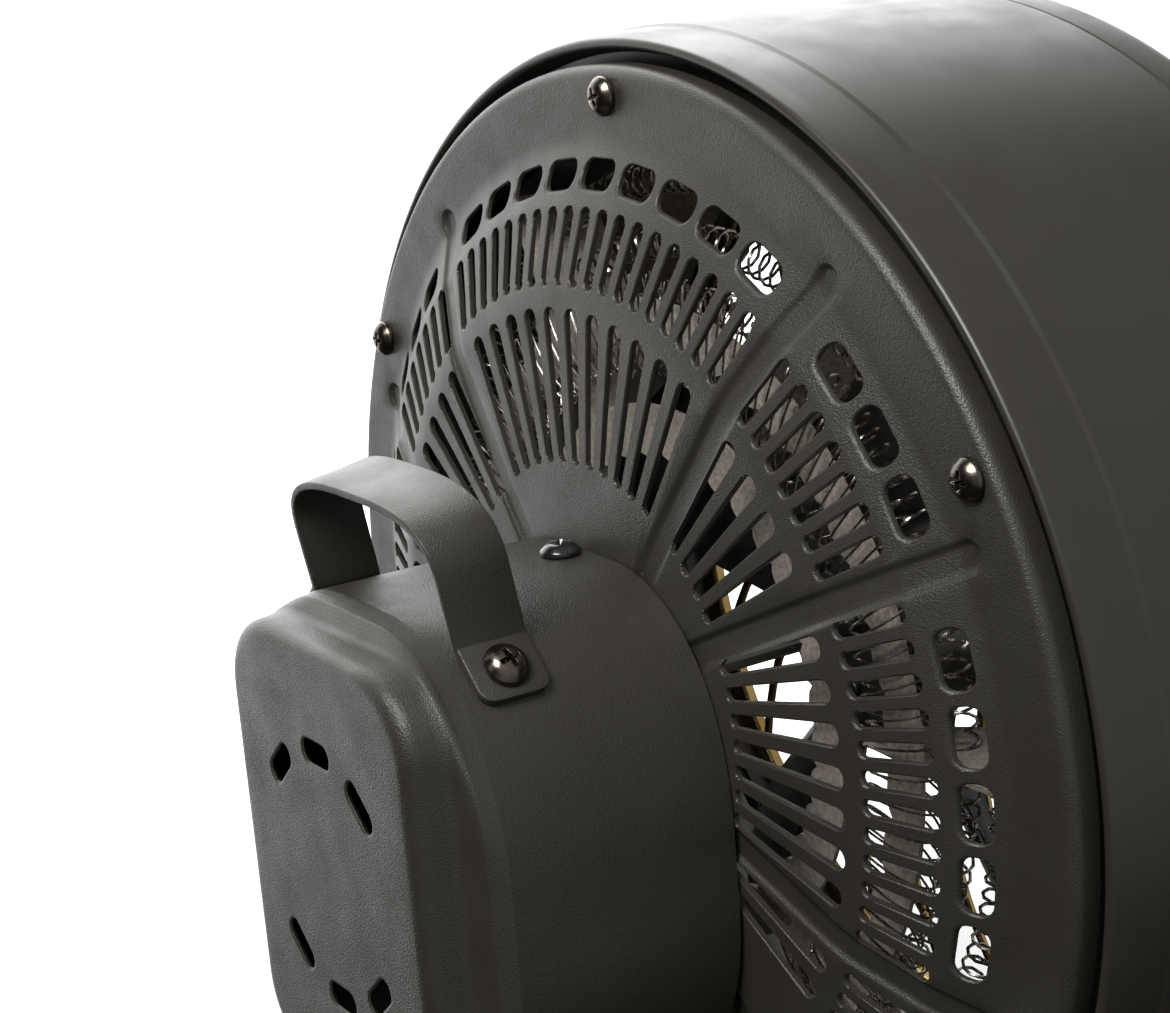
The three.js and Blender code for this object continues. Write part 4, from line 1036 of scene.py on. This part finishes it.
def saddle_form():
    rows = []
    for z in (saddle_low.z, saddle_high.z + 20):
        outline = rounded_rectangle(saddle_low.x, saddle_low.y, saddle_high.x, saddle_high.y, 3, 5)
        rows.append([(x, y, z) for x, y in outline])
    return Form().skin(rows, cap_first=True, cap_last=True)


def drum_tool(radius):
    return bar(radius, (0, saddle_low.y - 40, AXIS_Z), (0, saddle_high.y + 40, AXIS_Z), 240)


def hole_tool(radius, x, y, z):
    """A short round tool through the box's front or rear wall."""
    return bar(radius, (x, y - 6, z), (x, y + 6, z), 32)


box_holes = [
    hole_tool(4, -CONTROL_X, box_low.y, CONTROL_Z),
    hole_tool(4, CONTROL_X, box_low.y, CONTROL_Z),
    hole_tool(LAMP_R + 0.3, 0, box_low.y, CONTROL_Z),
    hole_tool(GLAND_R - 1.2, 0, box_high.y, GLAND_Z),
]
piece("box_shell", box_form(), "powder_coat", ["control_box"], origin=FLOOR, sheet=SHEET,
      drills=box_holes, smooth=45)
plunger_hole = bar(5, (0, PLUNGER_Y, plate_low.z - 5), (0, PLUNGER_Y, plate_high.z + 5), 32)
piece("base_sheet", plate_form(), "powder_coat", ["base_plate"], origin=FLOOR, edge=0.5,
      drills=[plunger_hole], segments=3)
piece("saddle_block", saddle_form(), "powder_coat", ["stand_saddle"], origin=FLOOR,
      edge=0.6, drills=[drum_tool(BARREL_R + 0.3)], segments=3)


def foot_form(x, y):
    """A moulded foot with a groove round its waist."""
    height = plate_low.z - 0.3
    profile = rounded([(0, 0), (8.2, 0), (9, 2.4), (8.2, 3.4), (9, 4.4), (9, height), (0, height)],
                      [0, 1.2, 0.4, 0.6, 0.4, 0.4, 0], False, 4)
    rows = [[(x + r * math.cos(TURN * i / 40), y + r * math.sin(TURN * i / 40), z)
             for i in range(40)] for r, z in profile]
    return Form().skin(rows)


for number in range(1, 5):
    low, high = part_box(f"rubber_foot_{number}")
    middle = (low + high) / 2 / MM
    piece(f"foot_{number}", foot_form(middle.x, middle.y), "rubber",
          [f"rubber_foot_{number}"], origin=FLOOR)


def knob_form(x):
    """A fluted knob on its shaft."""
    back, height, r = box_low.y - KNOB_GAP, KNOB_HEIGHT, KNOB_R
    profile = rounded([(3, back), (r, back), (r, back - 2.5), (r - 1.6, back - 3.4),
                       (r - 2.6, back - height), (0, back - height)],
                      [0, 0.4, 1, 0.6, 1.6, 0], False, 5)
    rows = []
    sides = 144
    for radius, y in profile:
        row = []
        for i in range(sides):
            flute = 0.45 if back - height + 1.2 < y < back - 3.6 else 0.0
            wave = flute * (0.5 - 0.5 * math.cos(FLUTES * TURN * i / sides))
            row.append(polar(radius - wave, 360 * i / sides, y))
        rows.append(row)
    form = Form().skin(rows)
    form.join(bar(SHAFT_R, (0, back + 15, 0), (0, back - 4, 0), 24))
    return form.placed(Matrix.Translation((x, 0, CONTROL_Z)))


def pointer_form(x):
    """A raised pointer bar on a knob's face."""
    front = box_low.y - KNOB_GAP - KNOB_HEIGHT
    outline = rounded_rectangle(x - 1.1, CONTROL_Z + 1.5, x + 1.1, CONTROL_Z + 10, 1.0, 5)
    rows = [[(px, y, pz) for px, pz in outline] for y in (front + 0.8, front - 0.7)]
    return Form().skin(rows, cap_first=True, cap_last=True)


for name, x, body in (("heat_knob", CONTROL_X, "heat_dial"),
                      ("thermostat_knob", -CONTROL_X, "thermostat_dial")):
    piece(name + "_dial", knob_form(x), "black_plastic", [name], body=body, origin=FLOOR)
    piece(name + "_pointer", pointer_form(x), "bare_steel", [], body=body, origin=FLOOR,
          edge=0.25)


def lamp_form():
    front = box_low.y
    profile = rounded([(0, front - 2.6), (LAMP_R, front - 2), (LAMP_R, front - 1.2),
                       (LAMP_R + 1.5, front - 1.2), (LAMP_R + 1.5, front - 0.3),
                       (LAMP_R, front - 0.3), (LAMP_R, front + 8), (0, front + 8)],
                      [0, 1.2, 0.2, 0.5, 0.2, 0.2, 0.4, 0], False, 5)
    return Form().lathe(profile, 40, closed=False).placed(Matrix.Translation((0, 0, CONTROL_Z)))


def gland_form():
    rear = box_high.y
    profile = [(4, rear + 4), (GLAND_R, rear + 4), (GLAND_R, rear + 0.3), (GLAND_R - 1.5, rear + 0.3),
               (GLAND_R - 1.5, rear - 6), (4, rear - 6)]
    profile = rounded(profile, [0.8, 1.4, 0.3, 0.2, 0.4, 0.4], steps=5)
    return Form().lathe(profile, 48).placed(Matrix.Translation((0, 0, GLAND_Z)))


piece("lamp_lens", lamp_form(), "amber_lens", ["indicator_lamp"], origin=FLOOR)
piece("gland_body", gland_form(), "black_plastic", ["cord_gland"], origin=FLOOR)


# ---------------------------------------------------------------- camera, light and floor
CAMERA_AT = Vector((-418.3, 264.34, 165.4))
CAMERA_TARGET = Vector((21.2, -0.36, 33.4))
CAMERA_ROLL = math.radians(-4.899)
CAMERA_LENS = 77.249

lens = bpy.data.cameras.new("camera")
lens.lens = CAMERA_LENS
lens.sensor_width = 36
lens.sensor_fit = "HORIZONTAL"
lens.clip_start = 0.01
camera = bpy.data.objects.new("camera", lens)
bpy.context.scene.collection.objects.link(camera)
ahead = (CAMERA_TARGET - CAMERA_AT).normalized()
level = ahead.cross(Vector((0, 0, 1))).normalized()
upright = level.cross(ahead)
right = math.cos(CAMERA_ROLL) * level + math.sin(CAMERA_ROLL) * upright
above = right.cross(ahead)
camera.matrix_world = Matrix.Translation(HEAD + CAMERA_AT * MM) @ Matrix(
    (right, above, -ahead)).transposed().to_4x4()
bpy.context.scene.camera = camera

# Each is a direction, the start and end of its smooth edge, and its strength.
WALL_LIGHT = ((1, -0.15, 0.05), 0.58, 0.82, 2.1)
HORIZON = ((0, 0, 1), -0.56, -0.28, 1.0)
CEILING_LIGHT = ((0.8, -0.35, 0.5), 0.7, 0.97, 1.3)
FILL_LIGHT = ((-0.9, -0.4, 0.25), -0.1, 0.8, 0.45)
AMBIENT = 0.03


def studio_world():
    """White to the camera, but as light a bright wall and ceiling on one side and a dark floor."""
    world = bpy.data.worlds.new("studio")
    world.use_nodes = True
    tree = world.node_tree
    direction = tree.nodes.new("ShaderNodeTexCoord").outputs["Generated"]

    def lobe(towards, start, end, share):
        """A share of light that grows smoothly as a direction turns towards a point."""
        dot = tree.nodes.new("ShaderNodeVectorMath")
        dot.operation = "DOT_PRODUCT"
        dot.inputs[1].default_value = Vector(towards).normalized()
        tree.links.new(direction, dot.inputs[0])
        ramp = tree.nodes.new("ShaderNodeMapRange")
        ramp.interpolation_type = "SMOOTHSTEP"
        ramp.inputs["From Min"].default_value = start
        ramp.inputs["From Max"].default_value = end
        ramp.inputs["To Max"].default_value = share
        tree.links.new(dot.outputs["Value"], ramp.inputs["Value"])
        return ramp.outputs["Result"]

    def combine(operation, a, b):
        node = tree.nodes.new("ShaderNodeMath")
        node.operation = operation
        for socket, value in zip(node.inputs, (a, b)):
            if isinstance(value, float):
                socket.default_value = value
            else:
                tree.links.new(value, socket)
        return node.outputs["Value"]

    around = combine("ADD", lobe(*WALL_LIGHT), lobe(*FILL_LIGHT))
    around = combine("MULTIPLY", around, lobe(*HORIZON))
    above = combine("ADD", lobe(*CEILING_LIGHT), AMBIENT)
    light = combine("ADD", around, above)
    seen = tree.nodes.new("ShaderNodeLightPath").outputs["Is Camera Ray"]
    strength = combine("MAXIMUM", light, seen)
    background = tree.nodes["Background"]
    tree.links.new(strength, background.inputs["Strength"])
    background.inputs["Color"].default_value = (1, 1, 1, 1)
    return world


bpy.context.scene.world = studio_world()


def soft_light(name, place, size, power):
    """A square soft box that faces the middle of the head."""
    light = bpy.data.lights.new(name, "AREA")
    light.size = size
    light.energy = power
    obj = bpy.data.objects.new(name, light)
    bpy.context.scene.collection.objects.link(obj)
    obj.location = place
    obj.rotation_euler = (HEAD - Vector(place)).to_track_quat("-Z", "Y").to_euler()


soft_light("key", (-0.3, 0.65, 1.0), 0.5, 14)
soft_light("top", (0.6, -0.25, 1.0), 0.6, 3.8)

FLOOR_R = 0.5
FLOOR_FADE = (0.14, 0.45)  # metres from the middle


def stage_floor():
    """A pale disc that fades out into the white surroundings."""
    mesh = bpy.data.meshes.new("floor")
    disc = bmesh.new()
    bmesh.ops.create_circle(disc, cap_ends=True, segments=96, radius=FLOOR_R)
    disc.to_mesh(mesh)
    disc.free()
    floor = bpy.data.objects.new("floor", mesh)
    bpy.context.scene.collection.objects.link(floor)
    material = surface("floor", 0.86, 0.90, 0.6, grain=2, grain_depth=0.01, patch=400)
    tree = material.node_tree
    length = tree.nodes.new("ShaderNodeVectorMath")
    length.operation = "LENGTH"
    tree.links.new(tree.nodes.new("ShaderNodeTexCoord").outputs["Object"], length.inputs[0])
    fade = tree.nodes.new("ShaderNodeMapRange")
    fade.interpolation_type = "SMOOTHSTEP"
    values = dict(zip(("From Min", "From Max", "To Min", "To Max"), (*FLOOR_FADE, 1, 0)))
    for socket, value in values.items():
        fade.inputs[socket].default_value = value
    tree.links.new(length.outputs["Value"], fade.inputs["Value"])
    tree.links.new(fade.outputs["Result"], tree.nodes["Principled BSDF"].inputs["Alpha"])
    mesh.materials.append(material)
    floor.visible_glossy = False
    floor.visible_diffuse = False


stage_floor()
bpy.context.scene.view_settings.view_transform = "Standard"
